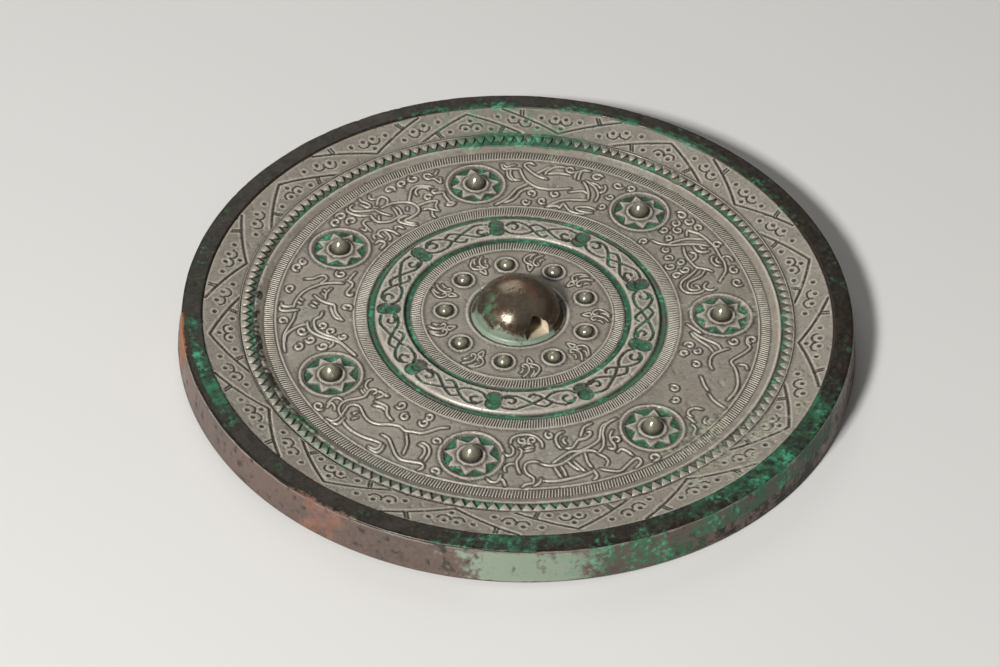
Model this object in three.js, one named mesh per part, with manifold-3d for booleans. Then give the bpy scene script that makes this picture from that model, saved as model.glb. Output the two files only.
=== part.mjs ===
// A cast bronze mirror of the Han type, lying on its reflecting face with the decorated back up.
// Millimetres, +Z up. The origin is the middle of the small flat on the reflecting face, and the
// tunnel of the knob runs along Y. One casting, so one mesh.
import * as THREE from "three";
import { mergeVertices } from "three/addons/utils/BufferGeometryUtils.js";
import Module from "manifold-3d";

const wasm = await Module();
wasm.setup();

// ---- driving dimensions (mm) ----
const OUTER_RADIUS = 105; // lower edge of the rim wall
const RIM_TOP_RADIUS = 103.3; // upper edge of the wall, which leans in
const FACE_BULGE = 1.2; // the reflecting face bows below the wall's lower edge
const FLAT_RADIUS = 32; // the flat spot in the middle of the bowed face
const WALL_FOOT = FACE_BULGE; // height of the wall's lower edge above the flat
const FIELD = 7.6; // height of the decorated field above the flat
const GROOVE_DEPTH = 0.6; // the sunk rings on both sides of the scroll band
const SCROLL_RISE = 0.5; // the scroll band stands above the field
const RIM_TOP = 4.9; // plain outer band, above the field
const FRIEZE_OUTER_RISE = 4.3; // zigzag frieze, outer edge, above the field
const FRIEZE_INNER_RISE = 2.3; // zigzag frieze, inner edge, above the field
const TOOTH_GROUND_RISE = 1.1; // ground of the sawtooth ring, above the field

const KNOB_RADIUS = 13.3;
const KNOB_HEIGHT = 11.3;
const KNOB_FOOT_RADIUS = 14.1;
const KNOB_ROUNDNESS = 1.9; // exponent of the dome's profile, 2 is an ellipse
const TUNNEL_WIDTH = 7.4;
const TUNNEL_HEIGHT = 6.4;
const TUNNEL_SILL = 0.3; // floor of the tunnel above the field

const R = {
  moat: 15, // around the knob's foot
  bosses: 22.4, // circle of the nine small bosses
  knobField: 33,
  scrollInner: 35.2,
  scroll: 39.7, // middle of the scroll band
  scrollOuter: 44.1,
  fieldInner: 46.6,
  creatures: 63.2, // circle of the seven large bosses and the creatures
  bankFoot: 78.4,
  bankTop: 81.6,
  toothOuter: 85,
  friezeInner: 86,
  friezeOuter: 96.7,
};

const BOSS_COUNT = 9;
const BOSS_START = -9; // degrees, first small boss
const BOSS = { radius: 2.1, height: 2.1, collarRadius: 3.6, collarRise: 0.45 };

const STAR_DRIFT = [0, -0.7, -1, -1.7, 0.9, -0.2, -0.1]; // degrees off an even seventh, as cast
const STAR_START = -27.5; // degrees, first star boss
const STAR = {
  ringRadius: 9.8,
  ringWidth: 0.9,
  ringRise: 0.45,
  groundRadius: 8.1,
  groundDepth: 0.5,
  hubRadius: 4.1,
  hubRise: 0.5,
  bossRadius: 2.9,
  bossHeight: 4.6,
  points: 8,
};

const TOOTH_COUNT = 164;
const TOOTH_LENGTH = 2.9;
const ZIGZAG_COUNT = 8; // inward and outward angles alternate
const ZIGZAG_START = -14; // degrees, first angle that points outward
const ZIGZAG_REACH = 11.5; // degrees, half the open side of each angle
const THREAD = { width: 0.8, rise: 0.45, sunk: 0.3 }; // the raised lines of the figures
const GROOVE = { width: 1.6, depth: 0.4, clear: 0.4 }; // cut lines of the scroll band
const SCROLL_LOBE = { radius: 1.7, reach: 1.5 }; // sunk double lobes between the knots

const SECTORS = 56; // of the plate and rim
const SECTORS_INNER = 36; // of the rings near the knob

const SLIVER = 0.006; // slivers left by the joins are merged away below this size

const BRONZE = { color: 0x8f8674, roughness: 0.42, metalness: 0.75 };

// ---- helpers ----
const rad = (degrees) => (degrees * Math.PI) / 180;
const polar = (radius, angle) => [radius * Math.cos(angle), radius * Math.sin(angle)];

/** Height of the top surface at a radius, on the plain profile. */
function surfaceHeight(radius) {
  const run = (radius - R.friezeInner) / (R.friezeOuter - R.friezeInner);
  const climb = FRIEZE_OUTER_RISE - FRIEZE_INNER_RISE;
  return radius < R.bankFoot ? FIELD : FIELD + FRIEZE_INNER_RISE + run * climb;
}

/** A closed BufferGeometry as a manifold solid. */
function toSolid(geometry) {
  const bare = geometry.clone();
  bare.deleteAttribute("normal");
  bare.deleteAttribute("uv");
  const merged = mergeVertices(bare, 1e-5);
  return new wasm.Manifold(
    new wasm.Mesh({
      numProp: 3,
      vertProperties: new Float32Array(merged.attributes.position.array),
      triVerts: new Uint32Array(merged.index.array),
    }),
  );
}

/** A manifold solid as a flat-shaded BufferGeometry. */
function toGeometry(solid) {
  const mesh = solid.getMesh();
  const geometry = new THREE.BufferGeometry();
  geometry.setAttribute("position", new THREE.BufferAttribute(new Float32Array(mesh.vertProperties), 3));
  geometry.setIndex(new THREE.BufferAttribute(new Uint32Array(mesh.triVerts), 1));
  const loose = geometry.toNonIndexed();
  loose.computeVertexNormals();
  return loose;
}

/** Turns a profile of [radius, height] pairs, listed from the lower axis end to the upper one, round Z. */
function turned(profile, sectors) {
  const points = profile.map(([radius, height]) => new THREE.Vector2(radius, height));
  const geometry = new THREE.LatheGeometry(points, sectors);
  geometry.rotateX(Math.PI / 2);
  return toSolid(geometry);
}

/** A turned solid moved to a place on the plate. */
function turnedAt([x, y], z, profile, sectors) {
  return turned(profile, sectors).translate([x, y, z]);
}

/** A flat outline of [x, y] pairs made into a slab between two heights. */
function slab(outline, bottom, top, holes = []) {
  const shape = new THREE.Shape(outline.map(([x, y]) => new THREE.Vector2(x, y)));
  for (const hole of holes) shape.holes.push(new THREE.Path(hole.map(([x, y]) => new THREE.Vector2(x, y))));
  const geometry = new THREE.ExtrudeGeometry(shape, { depth: top - bottom, bevelEnabled: false });
  geometry.translate(0, 0, bottom);
  return toSolid(geometry);
}

/** Points round a circle. */
function circle([x, y], radius, count, turn = 0) {
  return Array.from({ length: count }, (_, i) => {
    const [dx, dy] = polar(radius, turn + (2 * Math.PI * i) / count);
    return [x + dx, y + dy];
  });
}

/**
 * A low three-sided bar along a path of [x, y] pairs, with narrowed ends: its flat side lies at the
 * height "base" and its edge at "edge", both measured from heightAt(radius).
 */
function bar(path, width, base, edge, heightAt) {
  const positions = [];
  const last = path.length - 1;
  const side = edge > base ? 1 : -1;
  path.forEach(([x, y], i) => {
    const [ax, ay] = path[Math.max(0, i - 1)];
    const [bx, by] = path[Math.min(last, i + 1)];
    const length = Math.hypot(bx - ax, by - ay);
    const taper = i === 0 || i === last ? 0.35 : 1;
    const half = (side * width * taper) / 2;
    const [nx, ny] = [(-(by - ay) / length) * half, ((bx - ax) / length) * half];
    const z = heightAt(Math.hypot(x, y));
    positions.push(x + nx, y + ny, z + base, x - nx, y - ny, z + base, x, y, z + edge * taper);
  });
  const index = [0, 1, 2];
  for (let i = 0; i < last; i++) {
    for (let corner = 0; corner < 3; corner++) {
      const [a, b] = [3 * i + corner, 3 * i + ((corner + 1) % 3)];
      index.push(a, b + 3, b, a, a + 3, b + 3);
    }
  }
  index.push(3 * last, 3 * last + 2, 3 * last + 1);
  const geometry = new THREE.BufferGeometry();
  geometry.setAttribute("position", new THREE.Float32BufferAttribute(positions, 3));
  geometry.setIndex(index);
  return toSolid(geometry);
}

/** A raised thread on the field or the frieze. */
const thread = (path) => bar(path, THREAD.width, -THREAD.sunk, THREAD.rise, surfaceHeight);

/** A V-shaped groove, cut from the scroll band. */
const groove = (path) => bar(path, GROOVE.width, GROOVE.clear, -GROOVE.depth, () => FIELD + SCROLL_RISE);

const joined = (solids) => wasm.Manifold.union(solids);
const times = (count, make) => Array.from({ length: count }, (_, i) => make(i));
const starAngle = (i) => rad(STAR_START + (360 / 7) * i + STAR_DRIFT[i]);

// ---- plate, rim and rings ----

/** The plate with its bowed reflecting face, leaning rim wall, plain band, frieze slope and bank. */
function plate() {
  const bow = (radius) => FACE_BULGE * ((radius - FLAT_RADIUS) / (OUTER_RADIUS - FLAT_RADIUS)) ** 2;
  const face = [FLAT_RADIUS, 70].map((radius) => [radius, bow(radius)]);
  return turned(
    [
      [0, 0],
      ...face,
      [OUTER_RADIUS, WALL_FOOT],
      [RIM_TOP_RADIUS, FIELD + RIM_TOP],
      [R.friezeOuter + 0.3, FIELD + RIM_TOP],
      [R.friezeOuter, FIELD + FRIEZE_OUTER_RISE],
      [R.friezeInner, FIELD + FRIEZE_INNER_RISE],
      [R.toothOuter, FIELD + TOOTH_GROUND_RISE],
      [R.bankTop, FIELD + TOOTH_GROUND_RISE],
      [R.bankFoot, FIELD],
      [R.fieldInner, FIELD],
      [R.fieldInner - 0.2, FIELD - GROOVE_DEPTH],
      [0, FIELD - GROOVE_DEPTH],
    ],
    SECTORS,
  );
}

/** The raised scroll band, a ring set into the sunk ground. */
function scrollBand() {
  const root = FIELD - GROOVE_DEPTH - 1;
  const top = FIELD + SCROLL_RISE;
  return turned(
    [
      [R.scrollInner - 0.1, root],
      [R.scrollOuter + 0.1, root],
      [R.scrollOuter, top],
      [R.scrollInner, top],
      [R.scrollInner - 0.1, root],
    ],
    SECTORS_INNER,
  );
}

/** The field round the knob, with the moat at the knob's foot. */
function knobField() {
  const root = FIELD - GROOVE_DEPTH - 1;
  return turned(
    [
      [0, root],
      [R.knobField + 0.2, root],
      [R.knobField, FIELD],
      [R.moat, FIELD],
      [R.moat - 0.3, FIELD - 0.35],
      [0, FIELD - 0.35],
    ],
    SECTORS_INNER,
  );
}

// ---- knob ----

/** The domed knob with its spreading foot. */
function knobDome() {
  const steps = 5;
  const dome = times(steps, (i) => {
    const rise = Math.sin((i / steps) * (Math.PI / 2));
    const radius = KNOB_RADIUS * (1 - rise ** KNOB_ROUNDNESS) ** (1 / KNOB_ROUNDNESS);
    return [radius, FIELD + 0.5 + (KNOB_HEIGHT - 0.5) * rise];
  });
  const foot = [[0, FIELD - 1], [KNOB_FOOT_RADIUS, FIELD - 1], [KNOB_FOOT_RADIUS, FIELD]];
  return turned([...foot, ...dome, [0, FIELD + KNOB_HEIGHT]], 24);
}

/** The arched tunnel for the cord, right through the knob along Y. */
function tunnel() {
  const half = TUNNEL_WIDTH / 2;
  const arch = times(5, (i) => {
    const angle = (Math.PI * i) / 4;
    return [half * Math.cos(angle), TUNNEL_HEIGHT * 0.4 + TUNNEL_HEIGHT * 0.6 * Math.sin(angle)];
  });
  const outline = [[-half, 0], [half, 0], ...arch];
  const reach = KNOB_FOOT_RADIUS;
  return slab(outline, -reach, reach)
    .rotate([90, 0, 0])
    .translate([0, 0, FIELD + TUNNEL_SILL]);
}

// ---- bosses ----

/** A small boss with its collar. */
function smallBoss(i) {
  const place = polar(R.bosses, rad(BOSS_START + (360 / BOSS_COUNT) * i));
  const dome = times(2, (k) => {
    const angle = (k / 2) * (Math.PI / 2);
    return [BOSS.radius * Math.cos(angle), BOSS.height * Math.sin(angle)];
  });
  const collar = [
    [0, -0.5],
    [BOSS.collarRadius, -0.5],
    [BOSS.collarRadius - 0.4, BOSS.collarRise],
    [BOSS.radius + 0.3, 0.1],
  ];
  return turnedAt(place, FIELD, [...collar, ...dome, [0, BOSS.height]], 8);
}

/** Outline of the star round a large boss, whose tips run into the wall of the sunk ground. */
function starOutline(centre) {
  const tip = STAR.groundRadius + 0.25;
  const hollow = STAR.groundRadius * 0.72;
  return times(2 * STAR.points, (i) => {
    const radius = i % 2 ? hollow : tip;
    const [dx, dy] = polar(radius, (Math.PI * i) / STAR.points);
    return [centre[0] + dx, centre[1] + dy];
  });
}

/** The sunk ground of a star boss, cut from the plate. */
function starGround(i) {
  const centre = polar(R.creatures, starAngle(i));
  return slab(circle(centre, STAR.groundRadius, 16), FIELD - STAR.groundDepth, FIELD + 2);
}

/** The raised ring, star, hub and tall pointed boss of one of the seven. */
function starBoss(i) {
  const centre = polar(R.creatures, starAngle(i));
  const inner = STAR.ringRadius - STAR.ringWidth;
  const ring = slab(circle(centre, STAR.ringRadius, 16), FIELD - 0.5, FIELD + STAR.ringRise, [
    circle(centre, inner, 16).reverse(),
  ]);
  const star = slab(starOutline(centre), FIELD - STAR.groundDepth - 0.5, FIELD);
  const boss = [
    [0, -1],
    [STAR.hubRadius, -1],
    [STAR.hubRadius - 0.1, STAR.hubRise],
    [STAR.bossRadius, 0.1],
    [STAR.bossRadius * 0.93, STAR.bossHeight * 0.45],
    [STAR.bossRadius * 0.6, STAR.bossHeight * 0.85],
    [0, STAR.bossHeight],
  ];
  return [ring, star, turnedAt(centre, FIELD, boss, 8)];
}

// ---- ring patterns ----

/** The sawtooth ring: triangles that stand on the outer edge and point inward. */
function sawtooth() {
  const outline = times(2 * TOOTH_COUNT, (i) => {
    const radius = i % 2 ? R.toothOuter - TOOTH_LENGTH : R.toothOuter - 0.25;
    return polar(radius, (Math.PI * i) / TOOTH_COUNT);
  });
  const outside = circle([0, 0], R.friezeInner + 0.8, SECTORS, Math.PI / SECTORS);
  return slab(outside, FIELD, FIELD + FRIEZE_INNER_RISE - 0.25, [outline.reverse()]);
}

/** The zigzag lines of the frieze, alternately pointing outward and inward. */
function zigzag() {
  const [near, far] = [R.friezeInner + 0.6, R.friezeOuter - 0.5];
  const pitch = 360 / ZIGZAG_COUNT;
  const angleOf = (tip, open, middle) =>
    thread([
      polar(open, rad(middle - ZIGZAG_REACH)),
      polar(tip, rad(middle)),
      polar(open, rad(middle + ZIGZAG_REACH)),
    ]);
  return times(ZIGZAG_COUNT, (i) => [
    angleOf(far, near, ZIGZAG_START + pitch * i),
    angleOf(near, far, ZIGZAG_START + pitch * (i + 0.5)),
  ]).flat();
}

/** The sunk double lobes and the crossing grooves of the scroll band. */
function scrollCuts() {
  const pitch = (2 * Math.PI) / BOSS_COUNT;
  const floor = FIELD + SCROLL_RISE - 0.4;
  return times(BOSS_COUNT, (i) => {
    const lobeAngle = rad(BOSS_START + 0.5) + pitch * i;
    const lobes = [-1, 1].map((side) => {
      const centre = polar(R.scroll + side * SCROLL_LOBE.reach, lobeAngle);
      return slab(circle(centre, SCROLL_LOBE.radius, 8), floor, floor + 2);
    });
    const strands = [-1, 1].map((side) => {
      const wave = (t) => polar(R.scroll + side * 2.6 * Math.cos(Math.PI * t), lobeAngle + pitch * (0.14 + 0.72 * t));
      const line = times(4, (k) => wave(k / 3));
      return groove(line);
    });
    return { lobes, strands };
  });
}

// ---- the creatures ----
// Each stroke is a few points of [distance along the creatures' circle, radius], where the distance
// starts LEAD_IN before the star boss that opens the cell. Smooth curves run through the points.
const LEAD_IN = 2.2;

const CREATURES = {
  dragon: [
    [[17.5, 65.6], [21, 69], [33, 70.9], [41.8, 68]],
    [[15, 60.3], [13.6, 56.5], [17, 53], [21, 54.8], [25, 60.8], [36, 61.8]],
    [[15.2, 58.5], [17.3, 55.1], [21.2, 60.3], [23.5, 63.2]],
    [[33, 69.5], [39, 59.5], [45, 55.8]],
    [[36, 69.8], [39.2, 64.5], [41, 58.5]],
  ],
  bird: [
    [[17.3, 60], [19.5, 65.8], [23.5, 68.3]],
    [[20, 60], [21.5, 64], [24.2, 67.5]],
    [[27.2, 63], [35, 60.7], [42.5, 65], [44, 70]],
    [[35.5, 65.8], [42.7, 71.5]],
    [[40.8, 63], [48.5, 55], [53.5, 52]],
    [[20, 59.3], [26, 57.3], [33.3, 51.8]],
  ],
  wingedMan: [
    [[34.8, 65.9], [25.2, 61], [26, 57], [32.3, 56.2]],
    [[26, 63], [22.5, 67.5], [16.2, 66]],
    [[31.5, 59], [40.3, 61.5], [39.6, 65.3]],
    [[36.8, 66.2], [41.5, 69.8], [40, 73.2]],
    [[25, 59.8], [17.4, 58.8]],
    [[13.6, 62], [13.4, 56.5]],
  ],
  beast: [
    [[17.8, 56], [20, 62.5], [25, 67.5], [31, 69.4]],
    [[25.5, 63.5], [30, 56.7], [37.5, 54.2]],
    [[33.5, 68.7], [39, 70.7], [48.5, 73.3]],
    [[37.5, 65], [42, 64], [47, 58], [56.5, 53.3]],
    [[33, 60.3], [37.5, 63.2], [46, 57]],
  ],
  hornedBeast: [
    [[18.2, 70], [14.2, 66], [16, 59.5], [17, 55.7]],
    [[18, 69.8], [16.4, 65], [20, 63.8], [33, 61.2]],
    [[33, 61.2], [40, 60.2], [47, 54.5]],
    [[20, 71], [25, 71.7], [33, 70]],
    [[31, 67], [40.5, 72.4], [46.5, 71.3]],
  ],
  tiger: [
    [[13.5, 56.5], [16.5, 53.1], [22, 53.8], [23.8, 58.3]],
    [[19.8, 72.5], [17.8, 66.5], [22, 64.3]],
    [[22.5, 71.8], [36, 70.6]],
    [[22.5, 65], [28, 65.8], [39.5, 64]],
    [[38, 70.5], [42.5, 73.2], [48.5, 71]],
    [[39.8, 64], [44, 58.5], [52, 53.9]],
  ],
  longTailed: [
    [[25, 72.8], [31, 73], [39.5, 68], [46.5, 72.5]],
    [[34.5, 63.5], [39, 61.7], [44.5, 66]],
    [[43.5, 64], [47, 59], [50, 54.5]],
    [[22, 73.8], [24.3, 67]],
  ],
};

/** The raised lines of one creature, in the cell that follows a star boss. */
function creature(strokes, cell) {
  return strokes.map((stroke) => {
    const points = stroke.map(([along, radius]) => {
      const angle = starAngle(cell) + (along - LEAD_IN) / R.creatures;
      return new THREE.Vector2(...polar(radius, angle));
    });
    const segments = points.length > 2 ? points.length : 1;
    const path = new THREE.SplineCurve(points).getPoints(segments);
    return thread(path.map((point) => [point.x, point.y]));
  });
}

// ---- the whole casting ----

/** Everything joined into one solid: the plate, its rings and bosses, and the pierced knob. */
function mirror() {
  const cuts = scrollCuts();
  const ground = plate().subtract(joined(times(7, starGround)));
  const band = scrollBand()
    .subtract(joined(cuts.flatMap((cut) => cut.lobes)))
    .subtract(joined(cuts.flatMap((cut) => cut.strands)));
  const knob = knobDome().subtract(tunnel());
  const figures = Object.values(CREATURES).flatMap(creature);
  const casting = joined([
    ground,
    band,
    knobField(),
    knob,
    sawtooth(),
    ...times(BOSS_COUNT, smallBoss),
    ...times(7, starBoss).flat(),
    ...zigzag(),
    ...figures,
  ]);
  return casting.asOriginal().simplify(SLIVER);
}

const model = new THREE.Group();
const mesh = new THREE.Mesh(
  toGeometry(mirror()),
  new THREE.MeshStandardMaterial({
    color: BRONZE.color,
    roughness: BRONZE.roughness,
    metalness: BRONZE.metalness,
  }),
);
mesh.name = "mirror";
model.add(mesh);

export default model;
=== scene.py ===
"""The looks of an ancient cast bronze mirror, lying on its reflecting face.

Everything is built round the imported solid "mirror". Sizes are in part millimetres, and one part
millimetre is worked out from the solid's own width. Heights called "rise" are above the field.
"""
import logging
import math
from dataclasses import dataclass, field
from enum import Enum

import bpy
import numpy as np
from mathutils import Matrix, Vector


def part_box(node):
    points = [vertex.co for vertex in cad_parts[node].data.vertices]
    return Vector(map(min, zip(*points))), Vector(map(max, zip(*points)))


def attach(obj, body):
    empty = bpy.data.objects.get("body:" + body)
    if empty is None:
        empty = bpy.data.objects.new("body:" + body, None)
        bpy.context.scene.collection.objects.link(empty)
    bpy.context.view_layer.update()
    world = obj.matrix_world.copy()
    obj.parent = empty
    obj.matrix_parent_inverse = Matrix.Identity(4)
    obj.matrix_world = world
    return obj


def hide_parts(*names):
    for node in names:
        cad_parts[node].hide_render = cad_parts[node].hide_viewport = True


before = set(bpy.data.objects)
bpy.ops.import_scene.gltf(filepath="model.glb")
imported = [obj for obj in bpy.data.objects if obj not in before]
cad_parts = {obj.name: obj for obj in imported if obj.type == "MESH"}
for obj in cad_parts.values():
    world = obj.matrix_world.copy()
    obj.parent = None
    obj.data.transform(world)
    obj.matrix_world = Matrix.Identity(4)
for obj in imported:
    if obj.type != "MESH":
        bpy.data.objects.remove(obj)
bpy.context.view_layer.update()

LOG = logging.getLogger("mirror")
BODY = "root"
NODE = "mirror"
PLATE_WIDTH = 210.0
LOW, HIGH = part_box(NODE)
MM = (HIGH.x - LOW.x) / PLATE_WIDTH
FIELD = 7.6  # height of the decorated field above the flat that the mirror lies on

Points = list[tuple[float, float]]
Colour = tuple[float, float, float, float]


def tone(code: str) -> Colour:
    """The linear colour of a hexadecimal screen colour."""
    parts = [int(code[i : i + 2], 16) / 255 for i in (0, 2, 4)]
    red, green, blue = (p / 12.92 if p <= 0.04045 else ((p + 0.055) / 1.055) ** 2.4 for p in parts)
    return (red, green, blue, 1.0)


# ---------------------------------------------------------------- numbers over points


class Cloud:
    """Smooth random values over points, the same in every run."""

    SIDE = 32

    def __init__(self, seed: int) -> None:
        """Draws the lattice of random values for a seed."""
        self.lattice = np.random.default_rng(seed).random((self.SIDE,) * 3)

    def at(self, x: np.ndarray, y: np.ndarray, z: np.ndarray, size: float, octaves: int = 3) -> np.ndarray:
        """Values from 0 to 1.

        Args:
            x, y, z: the points, in millimetres.
            size: the width of the largest features, in millimetres.
            octaves: how many times finer features are added.

        Returns:
            One value for each point.
        """
        total, weight = 0.0, 0.0
        for octave in range(octaves):
            share = 0.5**octave
            total = total + share * self._layer(x, y, z, size * 0.5**octave, 7.3 * octave)
            weight += share
        return np.clip((total / weight - 0.5) * 1.7 + 0.5, 0, 1)

    def _layer(self, x: np.ndarray, y: np.ndarray, z: np.ndarray, size: float, shift: float) -> np.ndarray:
        """One octave, read between the lattice's values."""
        cells, blends = [], []
        for values in (x, y, z):
            place = np.asarray(values) / size + shift
            cell = np.floor(place).astype(int)
            part = place - cell
            cells.append(cell)
            blends.append(part * part * (3 - 2 * part))
        total = 0.0
        for corner in range(8):
            steps = [(corner >> axis) & 1 for axis in range(3)]
            index = tuple((cell + step) % self.SIDE for cell, step in zip(cells, steps))
            share = 1.0
            for step, blend in zip(steps, blends):
                share = share * (blend if step else 1 - blend)
            total = total + share * self.lattice[index]
        return total


WARP = Cloud(11)
PITS = Cloud(23)
SPREAD = Cloud(37)


def soft_step(values: np.ndarray, low: float, high: float) -> np.ndarray:
    """0 below low, 1 above high and a smooth rise in between."""
    part = np.clip((values - low) / (high - low), 0, 1)
    return part * part * (3 - 2 * part)


def bump(distance: np.ndarray, half: float) -> np.ndarray:
    """A rounded ridge: 1 on its line and 0 from half its width outwards."""
    part = np.clip(1 - (distance / half) ** 2, 0, 1)
    return part**0.75


def smooth_path(points: Points, step: float) -> np.ndarray:
    """A smooth line through a few points.

    Args:
        points: the points that the line runs through.
        step: about how far apart the line's own points are.

    Returns:
        The line's points, one row each.
    """
    given = np.array(points, float)
    if len(given) == 2:
        count = max(1, math.ceil(np.linalg.norm(given[1] - given[0]) / step))
        return given[0] + (given[1] - given[0]) * np.linspace(0, 1, count + 1)[:, None]
    padded = np.vstack([2 * given[0] - given[1], given, 2 * given[-1] - given[-2]])
    pieces = []
    for a, b, c, d in zip(padded, padded[1:], padded[2:], padded[3:]):
        count = max(1, math.ceil(np.linalg.norm(c - b) / step))
        t = np.linspace(0, 1, count, endpoint=False)[:, None]
        pieces.append(0.5 * (2 * b + (c - a) * t + (2 * a - 5 * b + 4 * c - d) * t**2 + (3 * b - a - 3 * c + d) * t**3))
    return np.vstack([*pieces, given[-1:]])


def curl(centre: tuple[float, float], size: float = 1.2, start: float = 0.0, turn: int = 1) -> Points:
    """A small hook that curls inwards for nearly one turn.

    Args:
        centre: its middle.
        size: its outer radius.
        start: the direction of its outer end, in degrees.
        turn: 1 to run anticlockwise and -1 to run clockwise.

    Returns:
        The points of the spiral.
    """
    steps = 8
    spiral = []
    for i in range(steps + 1):
        angle = math.radians(start + turn * 340 * i / steps)
        reach = size * (1 - 0.62 * i / steps)
        spiral.append((centre[0] + reach * math.cos(angle), centre[1] + reach * math.sin(angle)))
    return spiral


@dataclass(frozen=True)
class Unrolled:
    """A stretch of a ring laid out flat: distances along a circle, and radii."""

    start: float  # degrees
    reference: float  # radius of the circle that distances are measured on

    def place(self, points: np.ndarray) -> np.ndarray:
        """Points of [distance, radius] on the plate, as [x, y]."""
        angle = math.radians(self.start) + points[:, 0] / self.reference
        return np.stack([points[:, 1] * np.cos(angle), points[:, 1] * np.sin(angle)], 1)

    def line(self, points: Points, step: float = 0.6) -> np.ndarray:
        """A smooth line through points of [distance, radius], as [x, y]."""
        return self.place(smooth_path(points, step))


# ---------------------------------------------------------------- the form of the plate

# Rises of the decorated back over the radius, from the knob's foot out to the plain band.
BACK_PROFILE = (
    (0, -0.35), (14.5, -0.35), (15.05, -0.42), (15.4, 0.16), (15.9, 0.14), (16.4, 0.0),
    (29.2, 0.0), (29.45, 0.3), (29.85, 0.3), (30.15, -0.14), (32.8, -0.14), (33.05, -0.16),
    (33.25, -0.66), (35.0, -0.72), (35.3, 0.42), (35.6, 0.5), (43.8, 0.5), (44.05, 0.42),
    (44.3, -0.72), (46.4, -0.66), (46.7, -0.14), (50.1, -0.14), (50.4, 0.28), (50.8, 0.28),
    (51.15, 0.0), (74.3, 0.0), (74.6, 0.28), (75.0, 0.28), (75.3, -0.12), (78.3, -0.12),
    (78.7, 0.12), (81.0, 1.15), (81.35, 1.12), (81.65, 0.75), (84.8, 0.95), (84.98, 2.02),
    (85.4, 2.12), (85.5, 1.75), (85.8, 1.75), (85.95, 2.3), (96.5, 4.25), (96.8, 4.3), (98, 4.3),
)  # fmt: skip
COMB_GROUNDS = ((30.2, 32.9), (46.8, 50.0), (75.4, 78.3))  # radii that the comb strokes fill
BAND_RISE = 4.9
WALL_FOOT = 1.2  # height of the wall's lower edge
FLAT_RADIUS = 32.0


def back_height(radius: np.ndarray) -> np.ndarray:
    """Height of the decorated back at a radius, without its patterns."""
    radii, rises = zip(*BACK_PROFILE)
    return FIELD + np.interp(radius, radii, rises)


class Stain(Enum):
    """What the metal has turned into, and painted shade, with the channel of the attribute that carries it."""

    MALACHITE = ("relief", 2)
    CRUST = ("relief", 3)
    CUPRITE = ("stains", 0)
    PALE = ("stains", 1)
    OCHRE = ("stains", 2)
    # the band's and the face's own dark tone, and painted shade on the wall and bank
    SOOT = ("stains", 3)


@dataclass(frozen=True)
class Patch:
    """A stained stretch of a ring; the dark stain's patches on the wall and bank are painted shade."""

    stain: Stain
    angle: float  # degrees, its middle
    spread: float  # degrees, half its length; 180 is all the way round
    inner: float
    outer: float
    strength: float = 0.8
    low: float = -1.0  # heights above the flat
    high: float = 30.0

    def over(self, x: np.ndarray, y: np.ndarray, z: np.ndarray) -> np.ndarray:
        """How strongly the patch covers each point, from 0 to 1."""
        radius = np.hypot(x, y)
        away = np.abs((np.degrees(np.arctan2(y, x)) - self.angle + 180) % 360 - 180)
        cover = 1.0 if self.spread >= 180 else 1 - soft_step(away, self.spread * 0.2, self.spread * 1.5)
        edge = 0.5
        for values, low, high in ((radius, self.inner, self.outer), (z, self.low, self.high)):
            cover = cover * soft_step(values, low - edge, low + edge) * (1 - soft_step(values, high - edge, high + edge))
        return self.strength * cover


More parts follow.
